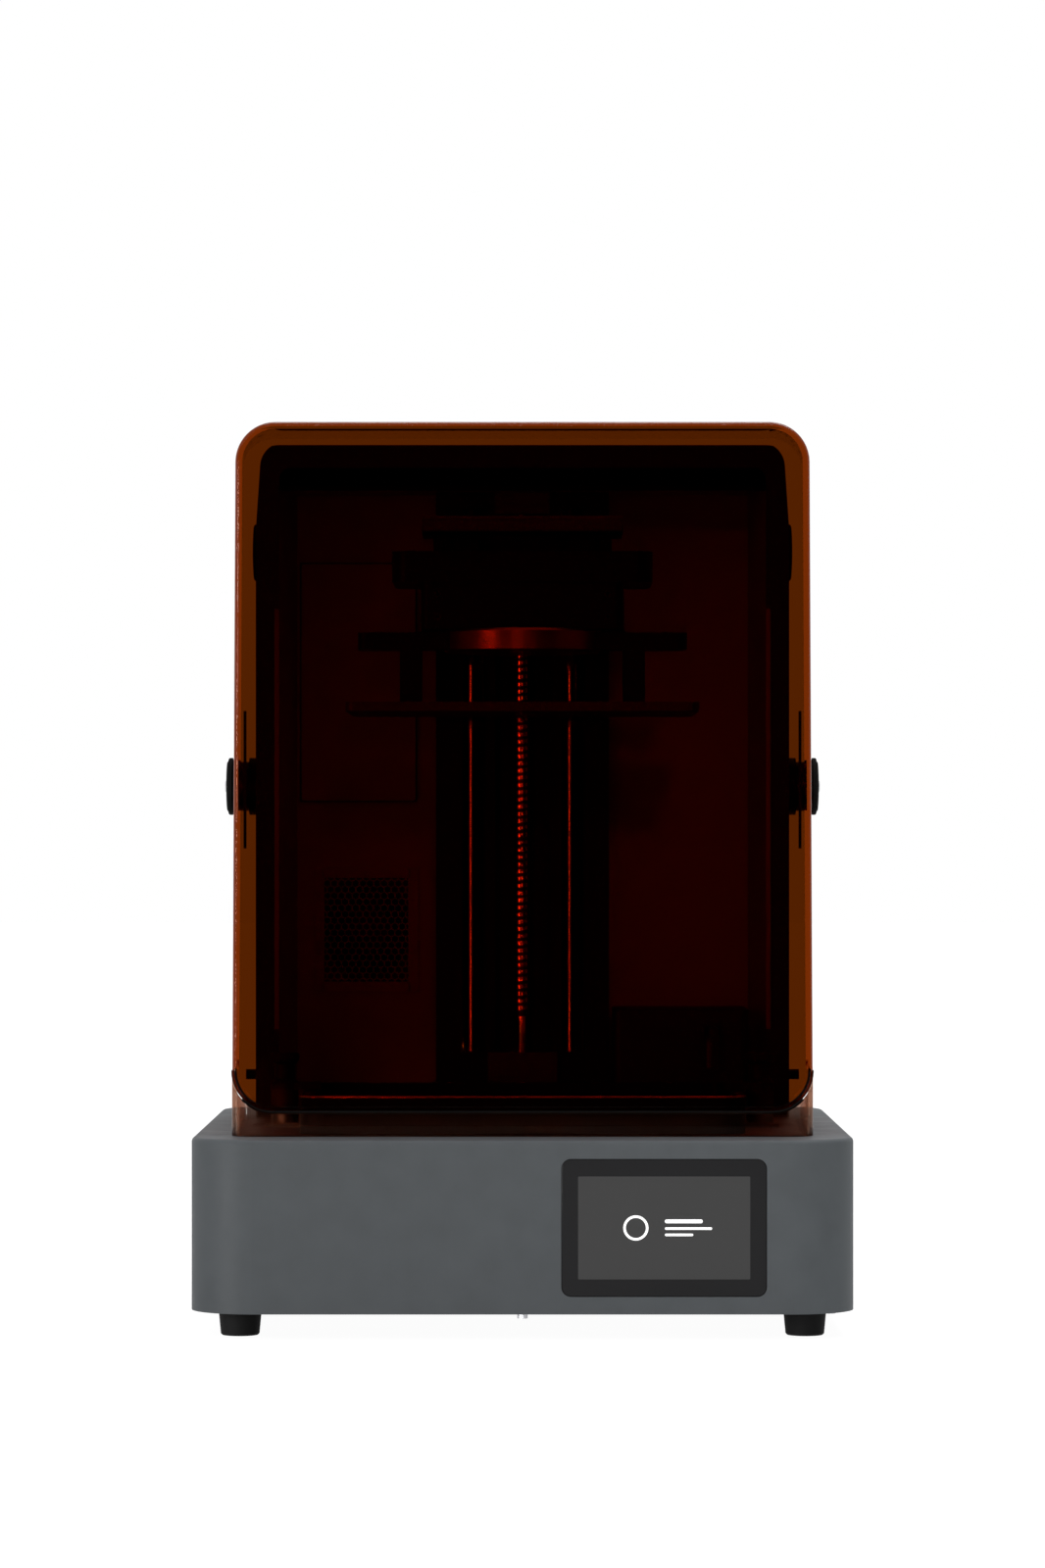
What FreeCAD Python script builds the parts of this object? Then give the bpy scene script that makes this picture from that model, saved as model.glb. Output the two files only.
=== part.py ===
import FreeCAD, Part
import os
import re
import Sketcher

# Resin printer with a flip-up hood: millimetres, X right, Y back, Z up, origin on the floor under the middle.
os.makedirs("parts", exist_ok=True)
Vector = FreeCAD.Vector
doc = FreeCAD.newDocument("resin_printer")
sheet = doc.addObject("Spreadsheet::Sheet", "dims")

sizes = {
    # base casing and what stands under it
    "base_width": 426, "base_depth": 410, "base_height": 111, "base_corner": 41, "base_edge": 3,
    "base_wall": 3, "foot_height": 17, "foot_top_radius": 14, "foot_low_radius": 12.5, "foot_side": 31,
    "foot_inset": 45, "foot_bore_radius": 4.5, "foot_bore_depth": 8, "foot_chamfer": 1, "floor_thick": 2.5,
    "head_radius": 3.4, "head_height": 4, "shank_radius": 1.9, "screw_inset": 18, "screw_rim": 14,
    "screw_step": 52, "screw_back": 145, "screw_pitch": 100, "shank_end": 2,
    "slot_length": 120, "slot_width": 6, "slot_pitch": 12, "slot_count": 7,
    "seat_gap": 0.3, "run_gap": 0.4, "press_gap": 0.05,
    # touch screen
    "glass_width": 130.3, "glass_height": 87.3, "glass_corner": 6, "glass_side": 57.75, "glass_drop": 12.25,
    "panel_width": 121, "panel_height": 76, "panel_depth": 4, "panel_rim": 9, "panel_plate": 2,
    "panel_corner": 3,
    # exposure optics
    "window_side": 30, "window_end": 29.5, "mask_margin": 8, "mask_rim": 7, "mask_corner": 6,
    "mask_height": 5, "engine_flange": 3, "engine_rim": 10, "engine_wall": 2, "engine_corner": 4,
    "engine_drop": 75, "lens_ledge": 2.5, "lens_thick": 2, "lens_corner": 1.5, "led_width": 90, "led_depth": 60,
    "led_thick": 2, "led_corner": 3, "sink_base": 4, "fin_height": 16, "fin_thick": 2, "fin_count": 10,
    "side_fan_size": 40, "side_fan_thick": 10, "side_fan_gap": 35, "side_rotor_radius": 18,
    "side_hub_radius": 9,
    "side_fan_corner": 3, "spoke_thick": 1, "spoke_width": 3, "tip_gap": 1, "blade_thick": 1.4,
    "blade_pitch": 35,
    # vat
    "vat_side": 68, "vat_inset": 57.5, "vat_rear": 167.5, "vat_height": 25, "vat_wall": 9, "vat_corner": 16,
    "vat_rim": 1.5, "vat_inner_corner": 9, "ring_height": 5.6, "film_thick": 0.4, "film_margin": 4,
    "post_radius": 9, "post_gap": 13, "post_foot": 3, "post_foot_half": 16, "knob_radius": 9.5,
    "knob_height": 24,
    "knob_waist": 2.5, "knob_crown": 5, "knob_chamfer": 1, "paw_height": 4.5, "paw_reach": 24, "paw_half": 7,
    # hood and the sill that it closes on
    "hood_inset": 37, "hood_low": 16.5, "hood_front_height": 443.5, "hood_side": 26.2, "hood_lean": 2.2,
    "hood_flare": 3, "hood_behind": 22, "hood_corner": 26, "hood_edge": 3, "hood_wall": 4.5, "lip_depth": 14,
    "side_low": 43, "rear_round": 30, "part_gap": 1, "sill_wall": 3, "sill_front": 2, "sill_corner": 15,
    "sill_behind": 2,
    # hinge
    "pivot_back": 115, "pivot_rise": 227.7, "flange_radius": 19.75, "flange_thick": 6, "pin_radius": 6,
    "bush_radius": 17, "cap_gap": 1.3, "cap_thick": 3, "cap_chamfer": 1, "cap_ring": 17.2, "cap_well": 12.8,
    "cap_button": 8.6, "cap_rise": 0.9, "hinge_plate_low": 43,
    "hinge_plate_high": 52, "hinge_plate_half": 21, "hinge_plate_thick": 2, "hinge_plate_set": 7,
    "hinge_plate_corner": 8,
    # rear housing and chamber
    "housing_side": 30, "housing_lean": 4, "housing_deep": 150, "back_inset": 5, "sweep_gap": 5.3,
    "taper_height": 60, "back_round": 14, "housing_corner": 17, "housing_wall": 2.5, "rim_side": 16,
    "rim_drop": 17.7, "rim_corner": 8, "liner_side": 9, "liner_gap": 70, "liner_thick": 1.5,
    "vent_count": 9, "vent_pitch": 9, "vent_slot": 4.5, "vent_length": 76, "vent_side": 63, "vent_inset": 8,
    "cover_side": 2, "cover_gap": 14, "cover_rise": 217, "cover_height": 168, "cover_thick": 3,
    "cover_corner": 5, "cover_edge": 0.8, "thumb_radius": 7, "thumb_depth": 1.5, "thumb_drop": 14,
    "grille_side": 12.5, "grille_height": 87, "grille_thick": 2, "grille_rim": 3, "grille_corner": 5,
    "hex_columns": 7, "hex_rows": 9, "hex_web": 2.5, "fan_rise": 127.5, "filter_half": 42,
    "fan_size": 70, "fan_thick": 20,
    "fan_corner": 4, "fan_shift": 0.5, "fan_spoke": 4, "fan_spoke_thick": 2, "rotor_radius": 31,
    "rotor_inset": 6,
    "rotor_gap": 1.5, "hub_radius": 16, "trim_rise": 61, "trim_length": 288, "trim_width": 3, "trim_depth": 2,
    "bumper_radius": 20, "bumper_thick": 2.8, "bumper_ahead": 12, "bumper_drop": 74.7,
    "peg_radius": 3.5, "peg_length": 7, "peg_set": 8, "peg_rise": 29.5,
    # lift
    "column_half": 60, "column_deep": 41, "column_drop": 31.7, "channel_half": 19, "channel_deep": 27,
    "rail_x": 34.4, "rail_half": 7.5, "rail_waist": 5, "rail_height": 10, "rail_foot": 3, "rail_groove": 4,
    "rail_end": 12, "screw_set": 10, "screw_radius": 6, "journal_radius": 4, "thread_start": 4,
    "thread_end": 20,
    "journal_drop": 20, "journal_end": 4, "bearing_half": 24, "bearing_reach": 18, "bearing_rise": 44,
    "bearing_height": 15, "bearing_lip": 4, "shaft_gap": 3, "block_half": 17, "block_length": 56,
    "block_drop": 19, "block_reach": 23, "block_gap": 1.5, "carriage_half": 58, "carriage_thick": 10,
    "carriage_under": 6, "carriage_over": 10, "carriage_corner": 8, "nut_radius": 13, "nut_drop": 5,
    "nut_length": 28, "arm_drop": 71, "beam_half": 86, "beam_reach": 35, "beam_thick": 20, "beam_corner": 12,
    "neck_half": 50, "neck_length": 41, "neck_root": 30, "neck_drop": 20, "neck_rise": 22, "pocket_half": 30,
    "pocket_root": 20, "pocket_wall": 8, "pocket_corner": 8, "head_half": 67, "head_ahead": 30,
    "head_behind": 33, "head_drop": 31, "head_corner": 6, "bridge_inset": 6.5, "bridge_reach": 20,
    "bridge_thick": 11, "bridge_corner": 6, "joint_radius": 52, "joint_chamfer": 1.5, "joint_drop": 2,
    "pad_rise": 2, "leg_x": 74,
    "leg_half": 7, "leg_height": 36, "plate_over": 0.5, "plate_reach": 7, "plate_thick": 7, "plate_corner": 6,
    "plate_chamfer": 1, "lever_half": 66.5, "lever_arm": 6.5, "lever_rise": 12, "lever_thick": 13,
    "lever_ahead": 7, "lever_bar": 12, "lever_behind": 35, "lever_pin": 3, "lever_tail": 8, "lever_corner": 4,
    "lever_lap": 5, "pin_end": 1, "ear_half": 9, "ear_width": 8,
    # resin feed unit
    "feed_side": 12, "feed_clear": 2, "feed_gap": 7.5, "feed_depth": 65, "feed_height": 75, "feed_corner": 6,
    "feed_edge": 2, "spout_side": 27, "spout_radius": 5, "spout_bore": 3, "spout_reach": 28, "spout_bend": 10,
    "spout_drop": 24, "spout_high": 60,
    # drive and electrics in the base
    "motor_half": 28, "motor_height": 50, "motor_corner": 5, "motor_pilot": 19, "pilot_height": 2,
    "mount_drop": 40, "mount_thick": 4, "mount_wall": 3, "coupling_radius": 10, "coupling_under": 12,
    "coupling_length": 25, "coupling_waist": 2, "coupling_jaw": 10,
    "board_side": 12, "board_width": 70, "board_set": 85, "board_length": 170, "board_thick": 1.6,
    "standoff": 6, "standoff_radius": 3, "standoff_inset": 6, "chip_size": 26, "chip_set": 30, "chip_side": 14,
    "chip_height": 6, "plug_side": 4, "plug_width": 8, "plug_set": 70, "plug_end": 20,
    "supply_side": 15, "supply_width": 90, "supply_rear": 62, "supply_length": 200, "supply_height": 42,
    "supply_corner": 2, "rear_side": 57, "rear_width": 96, "rear_rise": 21, "rear_height": 56, "rear_rim": 6,
    "rear_thick": 2, "rear_corner": 4, "inlet_set": 28, "inlet_width": 30, "inlet_height": 24,
    "inlet_depth": 22,
    "inlet_flange": 1.5, "inlet_rim": 4, "inlet_wall": 2, "inlet_floor": 4, "inlet_corner": 4, "blade_size": 2,
    "blade_half": 3, "blade_length": 10, "blade_gap": 7, "switch_set": 70, "switch_width": 13,
    "switch_height": 20, "switch_wall": 2, "switch_rim": 2, "switch_depth": 14, "switch_floor": 4,
    "rocker_tilt": 8, "rocker_inset": 1.3, "rocker_deep": 3, "rocker_back": 1, "rocker_crest": 5.2,
    "rocker_dip": 3.6, "rocker_set": 5.5, "rocker_pin": 1.5, "pin_reach": 1.2,
}

# places worked out from the driving sizes
places = {
    "base_half": "base_width / 2",
    "base_top": "foot_height + base_height",
    "roof_under": "base_top - base_wall",
    "floor_top": "foot_height + floor_thick",
    "front_y": "-base_depth / 2",
    "back_y": "base_depth / 2",
    "inner_back": "back_y - base_wall",
    "foot_x": "base_half - foot_side",
    "screw_side": "base_half - screw_rim",
    "glass_x": "base_half - glass_side - glass_width / 2",
    "glass_z": "base_top - glass_drop - glass_height / 2",
    # vat over the exposure window
    "vat_width": "base_width - 2 * vat_side",
    "vat_front": "front_y + vat_inset",
    "vat_back": "back_y - vat_rear",
    "vat_depth": "vat_back - vat_front",
    "optic_y": "(vat_front + vat_back) / 2",
    "vat_top": "base_top + vat_height",
    "film_low": "base_top + ring_height",
    "film_high": "film_low + film_thick",
    "window_width": "vat_width - 2 * window_side",
    "window_depth": "vat_depth - 2 * window_end",
    "mask_width": "window_width + 2 * mask_margin",
    "mask_depth": "window_depth + 2 * mask_margin",
    "engine_top": "roof_under - engine_flange",
    "engine_low": "roof_under - engine_drop",
    "side_fan_x": "-led_width / 2 - side_fan_gap",
    "post_x": "vat_width / 2 + post_gap",
    "knob_low": "vat_top + seat_gap",
    # hood, sill and hinge
    "hood_tan": "tan(hood_flare)",
    "hood_front": "front_y + hood_inset",
    "hood_length": "pivot_y + hood_behind - hood_front",
    "hood_rear": "hood_front + hood_length",
    "hood_bottom": "base_top + hood_low",
    "hood_top": "hood_bottom + hood_front_height",
    "hood_low_half": "base_half - hood_side",
    "hood_top_half": "hood_low_half - hood_lean",
    "side_bottom": "base_top + side_low",
    "sill_length": "pivot_y + sill_behind - hood_front + sill_front",
    "sill_flare": "sill_length * hood_tan",
    "pivot_y": "back_y - pivot_back",
    "pivot_z": "base_top + pivot_rise",
    "pivot_ahead": "pivot_y - hood_front",
    "hinge_lean": "hood_lean * (pivot_z - hood_bottom) / hood_front_height",
    "hinge_wall": "hood_low_half - hinge_lean + pivot_ahead * hood_tan",
    "bush_start": "housing_half + flange_thick + run_gap",
    "cap_start": "hinge_wall + cap_gap",
    "hinge_plate_x": "hinge_wall - hinge_plate_set",
    # rear housing and what it holds, inside the sweep of the opening hood
    "sweep_front": "pivot_ahead - hood_wall",
    "sweep_above": "hood_top + pivot_ahead * hood_tan - hood_wall - pivot_z",
    "sweep_radius": "min(sweep_front; sweep_above) - sweep_gap",
    "housing_top": "pivot_z + sweep_radius",
    "housing_half": "base_half - housing_side",
    "housing_top_half": "housing_half - housing_lean",
    "housing_front": "back_y - housing_deep",
    "housing_back": "back_y - back_inset",
    "rim_half": "housing_half - rim_side",
    "rim_top": "housing_top - rim_drop",
    "liner_half": "rim_half - liner_side",
    "liner_back": "back_y - liner_gap",
    "liner_top": "column_top + liner_thick",
    "cover_left": "-liner_half + cover_side",
    "cover_right": "-column_half - cover_gap",
    "cover_low": "base_top + cover_rise",
    "cover_high": "cover_low + cover_height",
    "fan_front": "liner_back + liner_thick",
    "fan_back": "fan_front + fan_thick",
    "fan_x": "-(liner_half + column_half) / 2 - fan_shift",
    "fan_z": "base_top + fan_rise",
    "grille_width": "liner_half - column_half - 2 * grille_side",
    "hex_pitch": "min(grille_width / (hex_columns + 1.6); grille_height / (hex_rows + 1))",
    "hex_across": "hex_pitch - hex_web",
    "trim_low": "base_top + trim_rise",
    "trim_high": "trim_low + trim_length",
    "bumper_y": "pivot_y - bumper_ahead",
    "bumper_z": "housing_top - bumper_drop",
    "bumper_ball": "(bumper_radius * bumper_radius + bumper_thick * bumper_thick) / (2 * bumper_thick)",
    "peg_y": "housing_front + peg_set",
    "peg_z": "base_top + peg_rise",
    # lift, hung from the top of the column
    "column_top": "housing_top - column_drop",
    "column_front": "liner_back - column_deep",
    "channel_back": "column_front + channel_deep",
    "screw_y": "column_front + screw_set",
    "bearing_front": "column_front - bearing_reach",
    "bearing_top": "base_top + bearing_rise",
    "rail_low": "bearing_top",
    "rail_high": "column_top - rail_end",
    "thread_low": "bearing_top + thread_start",
    "thread_high": "column_top - thread_end",
    "journal_low": "base_top - journal_drop",
    "journal_high": "column_top - journal_end",
    "beam_low": "column_top - arm_drop",
    "beam_high": "beam_low + beam_thick",
    "beam_front": "optic_y - beam_reach",
    "beam_back": "carriage_front - neck_length",
    "block_low": "beam_low - block_drop",
    "block_high": "block_low + block_length",
    "block_front": "column_front - block_reach",
    "block_back": "column_front - block_gap",
    "carriage_front": "block_front - carriage_thick",
    "carriage_low": "block_low - carriage_under",
    "carriage_high": "block_high + carriage_over",
    "nut_low": "beam_low - nut_drop",
    "nut_high": "nut_low + nut_length",
    "head_front": "optic_y - head_ahead",
    "head_back": "optic_y + head_behind",
    "head_low": "beam_low - head_drop",
    "bridge_front": "optic_y - bridge_reach",
    "bridge_back": "optic_y + bridge_reach",
    "bridge_high": "head_low - pad_rise",
    "bridge_low": "bridge_high - bridge_thick",
    "bridge_half": "plate_half - bridge_inset",
    "plate_half": "window_width / 2 + plate_over",
    "plate_depth": "window_depth + 2 * plate_reach",
    "plate_front": "optic_y - plate_depth / 2",
    "plate_back": "optic_y + plate_depth / 2",
    "plate_high": "bridge_low - leg_height",
    "plate_low": "plate_high - plate_thick",
    "lever_low": "beam_high + lever_rise",
    "lever_high": "lever_low + lever_thick",
    "lever_z": "(lever_low + lever_high) / 2",
    "lever_front": "optic_y - lever_ahead",
    "lever_y": "optic_y + lever_behind",
    # feed unit, drive and electrics
    "feed_right": "rim_half - feed_side",
    "feed_left": "column_half + feed_clear",
    "feed_front": "vat_back + feed_gap",
    "feed_back": "feed_front + feed_depth",
    "feed_top": "base_top + feed_height",
    "spout_x": "feed_right - spout_side",
    "mount_low": "base_top - mount_drop",
    "coupling_low": "journal_low - coupling_under",
    "coupling_high": "coupling_low + coupling_length",
    "board_left": "base_half - base_wall - board_side - board_width",
    "board_right": "board_left + board_width",
    "board_front": "front_y + board_set",
    "board_back": "board_front + board_length",
    "board_low": "floor_top + standoff",
    "board_top": "board_low + board_thick",
    "supply_left": "-base_half + base_wall + supply_side",
    "supply_front": "inner_back - supply_rear - supply_length",
    "rear_left": "base_half - rear_side - rear_width",
    "rear_right": "rear_left + rear_width",
    "rear_low": "foot_height + rear_rise",
    "rear_high": "rear_low + rear_height",
    "rear_z": "rear_low + rear_height / 2",
    "vent_left": "-base_half + vent_side",
    "inlet_x": "rear_left + inlet_set",
    "switch_x": "rear_left + switch_set",
}

for row, (name, value) in enumerate(sizes.items(), start=1):
    sheet.set(f"A{row}", name)
    sheet.set(f"B{row}", str(value))
    sheet.setAlias(f"B{row}", name)
doc.recompute()

finished = []


def full(text):
    def swap(found):
        name = found.group(0)
        if name in places:
            return "(" + full(places[name]) + ")"
        return "dims." + name if name in sizes else name
    return re.sub(r"[a-z][a-z0-9_]*", swap, str(text))


def number(text):
    return float(sheet.evalExpression(full(text)))


def count(name):
    return range(int(number(name)))


def bind(thing, path, text):
    thing.setExpression(path, full(text))


def put(thing, x, y, z):
    bind(thing, "Placement.Base.x", x)
    bind(thing, "Placement.Base.y", y)
    bind(thing, "Placement.Base.z", z)
    return thing


def box(x0, x1, y0, y1, z0, z1):
    made = doc.addObject("Part::Box", "Box")
    bind(made, "Length", f"({x1}) - ({x0})")
    bind(made, "Width", f"({y1}) - ({y0})")
    bind(made, "Height", f"({z1}) - ({z0})")
    return put(made, x0, y0, z0)


turns = {"x": FreeCAD.Rotation(Vector(0, 1, 0), 90), "y": FreeCAD.Rotation(Vector(1, 0, 0), -90),
         "z": FreeCAD.Rotation()}


def rod(axis, radius, start, end, across, along):
    made = doc.addObject("Part::Cylinder", "Rod")
    made.Placement = FreeCAD.Placement(Vector(), turns[axis])
    bind(made, "Radius", radius)
    bind(made, "Height", f"({end}) - ({start})")
    spot = {"x": (start, across, along), "y": (across, start, along), "z": (across, along, start)}[axis]
    return put(made, *spot)


def join(*pieces):
    if len(pieces) == 1:
        return pieces[0]
    made = doc.addObject("Part::MultiFuse", "Join")
    made.Shapes = list(pieces)
    return made


def cut(piece, *tools):
    made = doc.addObject("Part::Cut", "Cut")
    made.Base = piece
    made.Tool = join(*tools)
    return made


def shared(first, second):
    made = doc.addObject("Part::Common", "Common")
    made.Base = first
    made.Tool = second
    return made


def group(*pieces):
    made = doc.addObject("Part::Compound", "Group")
    made.Links = list(pieces)
    return made


def sketch_on(body, plane, offset):
    sketch = body.newObject("Sketcher::SketchObject", "Sketch")
    role = plane + "_Plane"
    sketch.AttachmentSupport = (next(o for o in body.Origin.OriginFeatures if o.Role == role), [""])
    sketch.MapMode = "FlatFace"
    bind(sketch, "AttachmentOffset.Base.z", offset)
    return sketch


def fix_point(sketch, line, end, x, y):
    for kind, value in (("DistanceX", x), ("DistanceY", y)):
        index = sketch.addConstraint(Sketcher.Constraint(kind, -1, 1, line, end, number(value)))
        bind(sketch, f"Constraints[{index}]", value)


def outline(sketch, points):
    spots = [Vector(number(x), number(y), 0) for x, y in points]
    first = sketch.GeometryCount
    total = len(spots)
    for i in range(total):
        sketch.addGeometry(Part.LineSegment(spots[i], spots[(i + 1) % total]), False)
    for i in range(total):
        sketch.addConstraint(Sketcher.Constraint("Coincident", first + i, 2, first + (i + 1) % total, 1))
        fix_point(sketch, first + i, 1, *points[i])


def circle(sketch, x, y, radius):
    ring = Part.Circle(Vector(number(x), number(y), 0), Vector(0, 0, 1), number(radius))
    index = sketch.addGeometry(ring, False)
    fix_point(sketch, index, 3, x, y)
    bound = sketch.addConstraint(Sketcher.Constraint("Radius", index, number(radius)))
    bind(sketch, f"Constraints[{bound}]", radius)


def prism(plane, points, start, end, taper=None):
    body = doc.addObject("PartDesign::Body", "Body")
    offset = f"-({end})" if plane == "XZ" else start
    if taper:
        offset = f"-({start})"
    sketch = sketch_on(body, plane, offset)
    outline(sketch, points)
    pad = body.newObject("PartDesign::Pad", "Pad")
    pad.Profile = sketch
    bind(pad, "Length", f"({end}) - ({start})")
    if taper:
        pad.Reversed = True
        bind(pad, "TaperAngle", taper)
    return body


def oblong(x0, x1, y0, y1):
    return [(x0, y0), (x1, y0), (x1, y1), (x0, y1)]


def soften(body, radius, chosen, kind="Fillet"):
    tip = body.Tip
    tip.recompute(True)
    names = [f"Edge{i}" for i, edge in enumerate(tip.Shape.Edges, start=1) if chosen(edge)]
    made = body.newObject("PartDesign::" + kind, kind)
    made.Base = (tip, names)
    bind(made, "Radius" if kind == "Fillet" else "Size", radius)
    return body


def runs(axis):
    def chosen(edge):
        way = edge.Vertexes[-1].Point - edge.Vertexes[0].Point
        return way.Length > 1e-6 and abs(abs(getattr(way, axis)) - way.Length) < 1e-4
    return chosen


def lies(axis, value):
    level = number(value)

    def chosen(edge):
        return all(abs(getattr(v.Point, axis) - level) < 1e-4 for v in edge.Vertexes)
    return chosen


def rounded(axis, x0, x1, y0, y1, z0, z1, radius):
    if axis == "z":
        body = prism("XY", oblong(x0, x1, y0, y1), z0, z1)
    elif axis == "y":
        body = prism("XZ", oblong(x0, x1, z0, z1), y0, y1)
    else:
        body = prism("YZ", oblong(y0, y1, z0, z1), x0, x1)
    return soften(body, radius, runs(axis))


def turned(points):
    body = doc.addObject("PartDesign::Body", "Turned")
    sketch = sketch_on(body, "XZ", 0)
    outline(sketch, points)
    spun = body.newObject("PartDesign::Revolution", "Revolution")
    spun.Profile = sketch
    spun.ReferenceAxis = (sketch, ["V_Axis"])
    spun.Angle = 360
    return body


def done(label, piece):
    piece.Label = label
    finished.append(piece)
    return piece


def both(maker):
    return group(maker(-1), maker(1))


def mirrored(side, near, far):
    return (near, far) if side > 0 else (f"-({far})", f"-({near})")


# base casing
def base_solid(inset, low, high):
    return rounded("z", f"-base_half + ({inset})", f"base_half - ({inset})", f"front_y + ({inset})",
                   f"back_y - ({inset})", low, high, f"base_corner - ({inset})")


casing = base_solid("0", "foot_height", "base_top")
soften(casing, "base_edge", lies("z", "base_top"))
casing_room = base_solid("base_wall", "foot_height - base_wall", "roof_under")
glass_low = "glass_z - glass_height / 2"
glass_high = "glass_z + glass_height / 2"
glass_left = "glass_x - glass_width / 2"
glass_right = "glass_x + glass_width / 2"
screen_window = rounded("y", f"{glass_left} - seat_gap", f"{glass_right} + seat_gap", "front_y - base_wall",
                        "front_y + 2 * base_wall", f"{glass_low} - seat_gap", f"{glass_high} + seat_gap",
                        "glass_corner + seat_gap")
light_window = box("-window_width / 2", "window_width / 2", "optic_y - window_depth / 2",
                   "optic_y + window_depth / 2", "roof_under - base_wall", "base_top + base_wall")
shaft_hole = rod("z", "journal_radius + shaft_gap", "roof_under - base_wall", "base_top + base_wall", 0,
                 "screw_y")
rear_window = rounded("y", "rear_left", "rear_right", "inner_back - base_wall", "back_y + base_wall",
                      "rear_low",
                      "rear_high", "rear_corner")
base_slots = [rounded("y", f"vent_left + {i} * vent_pitch", f"vent_left + {i} * vent_pitch + vent_slot",
                      "inner_back - base_wall", "back_y + base_wall", "rear_low + vent_inset",
                      "rear_high - vent_inset", "vent_slot / 2.01") for i in count("vent_count")]
done("base_housing", cut(casing, casing_room, screen_window, light_window, shaft_hole, rear_window,
                         *base_slots))

# floor plate, feet and the screws under it
screw_spots = [("0", "front_y + screw_inset"), ("screw_side", "front_y + screw_step"),
               ("screw_side", "back_y - screw_back"), ("-screw_side", "back_y - screw_back"),
               ("0", "back_y - screw_inset"), ("screw_pitch", "back_y - screw_inset"),
               ("-screw_pitch", "back_y - screw_inset")]
floor = base_solid("base_wall + seat_gap", "foot_height", "floor_top")
screw_holes = [rod("z", "shank_radius + seat_gap", "foot_height - floor_thick", "floor_top + floor_thick",
                   x, y)
               for x, y in screw_spots]
floor_slots = []
for i in count("slot_count"):
    slot_y = f"optic_y + ({i} - (slot_count - 1) / 2) * slot_pitch"
    floor_slots.append(rounded("z", "-slot_length / 2", "slot_length / 2", f"{slot_y} - slot_width / 2",
                               f"{slot_y} + slot_width / 2", "foot_height - floor_thick",
                               "floor_top + floor_thick", "slot_width / 2.01"))
done("bottom_plate", cut(floor, *screw_holes, *floor_slots))

feet = []
for x in ("-foot_x", "foot_x"):
    for y in ("front_y + foot_inset", "back_y - foot_inset"):
        foot = turned([("foot_bore_radius", "0"), ("foot_low_radius - foot_chamfer", "0"),
                       ("foot_low_radius", "foot_chamfer"), ("foot_top_radius", "foot_height"),
                       ("0", "foot_height"), ("0", "foot_bore_depth"), ("foot_bore_radius",
                                                                        "foot_bore_depth")])
        feet.append(put(foot, x, y, 0))
done("rubber_feet", group(*feet))
screws = []
for x, y in screw_spots:
    screws.append(join(rod("z", "head_radius", "foot_height - head_height", "foot_height", x, y),
                       rod("z", "shank_radius", "foot_height - head_height / 2", "floor_top + shank_end",
                           x, y)))
done("bottom_screws", group(*screws))

# touch screen, clamped by its panel from behind the casing wall
done("screen_glass", rounded("y", glass_left, glass_right, "front_y", "front_y + base_wall", glass_low,
                             glass_high,
                             "glass_corner"))
panel_back = rounded("y", f"{glass_left} - panel_rim", f"{glass_right} + panel_rim", "front_y + base_wall",
                     "front_y + base_wall + panel_plate", f"{glass_low} - panel_rim / 2",
                     f"{glass_high} + panel_rim / 2", "panel_corner")
panel_can = box("glass_x - panel_width / 2", "glass_x + panel_width / 2",
                "front_y + base_wall + panel_plate / 2",
                "front_y + base_wall + panel_plate + panel_depth", "glass_z - panel_height / 2",
                "glass_z + panel_height / 2")
done("display_panel", join(panel_back, panel_can))


# exposure optics under the vat
def centred(width, depth, low, high, radius):
    return rounded("z", f"-({width}) / 2", f"({width}) / 2", f"optic_y - ({depth}) / 2",
                   f"optic_y + ({depth}) / 2", low, high, radius)


mask_rim_solid = centred("mask_width + 2 * mask_rim", "mask_depth + 2 * mask_rim", "base_top",
                         "base_top + mask_height", "mask_corner")
mask_seat = centred("mask_width + 2 * seat_gap", "mask_depth + 2 * seat_gap", "base_top - mask_height",
                    "base_top + 2 * mask_height", "lens_corner + seat_gap")
done("mask_frame", cut(mask_rim_solid, mask_seat))
done("mask_screen", centred("mask_width", "mask_depth", "base_top", "base_top + mask_height", "lens_corner"))


def hopper(inset, low, high):
    body = doc.addObject("PartDesign::Body", "Hopper")
    top = sketch_on(body, "XY", high)
    outline(top, oblong(f"-window_width / 2 + {inset}", f"window_width / 2 - ({inset})",
                        f"optic_y - window_depth / 2 + {inset}", f"optic_y + window_depth / 2 - ({inset})"))
    bottom = sketch_on(body, "XY", low)
    outline(bottom, oblong(f"-led_width / 2 + {inset}", f"led_width / 2 - ({inset})",
                           f"optic_y - led_depth / 2 + {inset}", f"optic_y + led_depth / 2 - ({inset})"))
    loft = body.newObject("PartDesign::AdditiveLoft", "Loft")
    loft.Profile = top
    loft.Sections = [bottom]
    return body


flange = centred("window_width + 2 * engine_rim", "window_depth + 2 * engine_rim", "engine_top", "roof_under",
                 "engine_corner")
lens_seat = centred("window_width + 2 * seat_gap", "window_depth + 2 * seat_gap", "engine_top",
                    "roof_under + engine_flange", "lens_corner + seat_gap")
engine_throat = hopper("lens_ledge + engine_wall", "engine_low", "engine_top")
done("engine_housing", cut(join(flange, hopper("0", "engine_low", "engine_top")), engine_throat, lens_seat))
done("lens_plate", centred("window_width", "window_depth", "engine_top", "engine_top + lens_thick",
                           "lens_corner"))
done("led_board", centred("led_width", "led_depth", "engine_low - led_thick", "engine_low", "led_corner"))
sink_top = "engine_low - led_thick"
fin_step = "(led_width - fin_thick) / (fin_count - 1)"
fins = [box(f"-led_width / 2 + {i} * {fin_step}", f"-led_width / 2 + {i} * {fin_step} + fin_thick",
            "optic_y - led_depth / 2", "optic_y + led_depth / 2", f"{sink_top} - sink_base - fin_height",
            f"{sink_top} - sink_base") for i in count("fin_count")]
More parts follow.
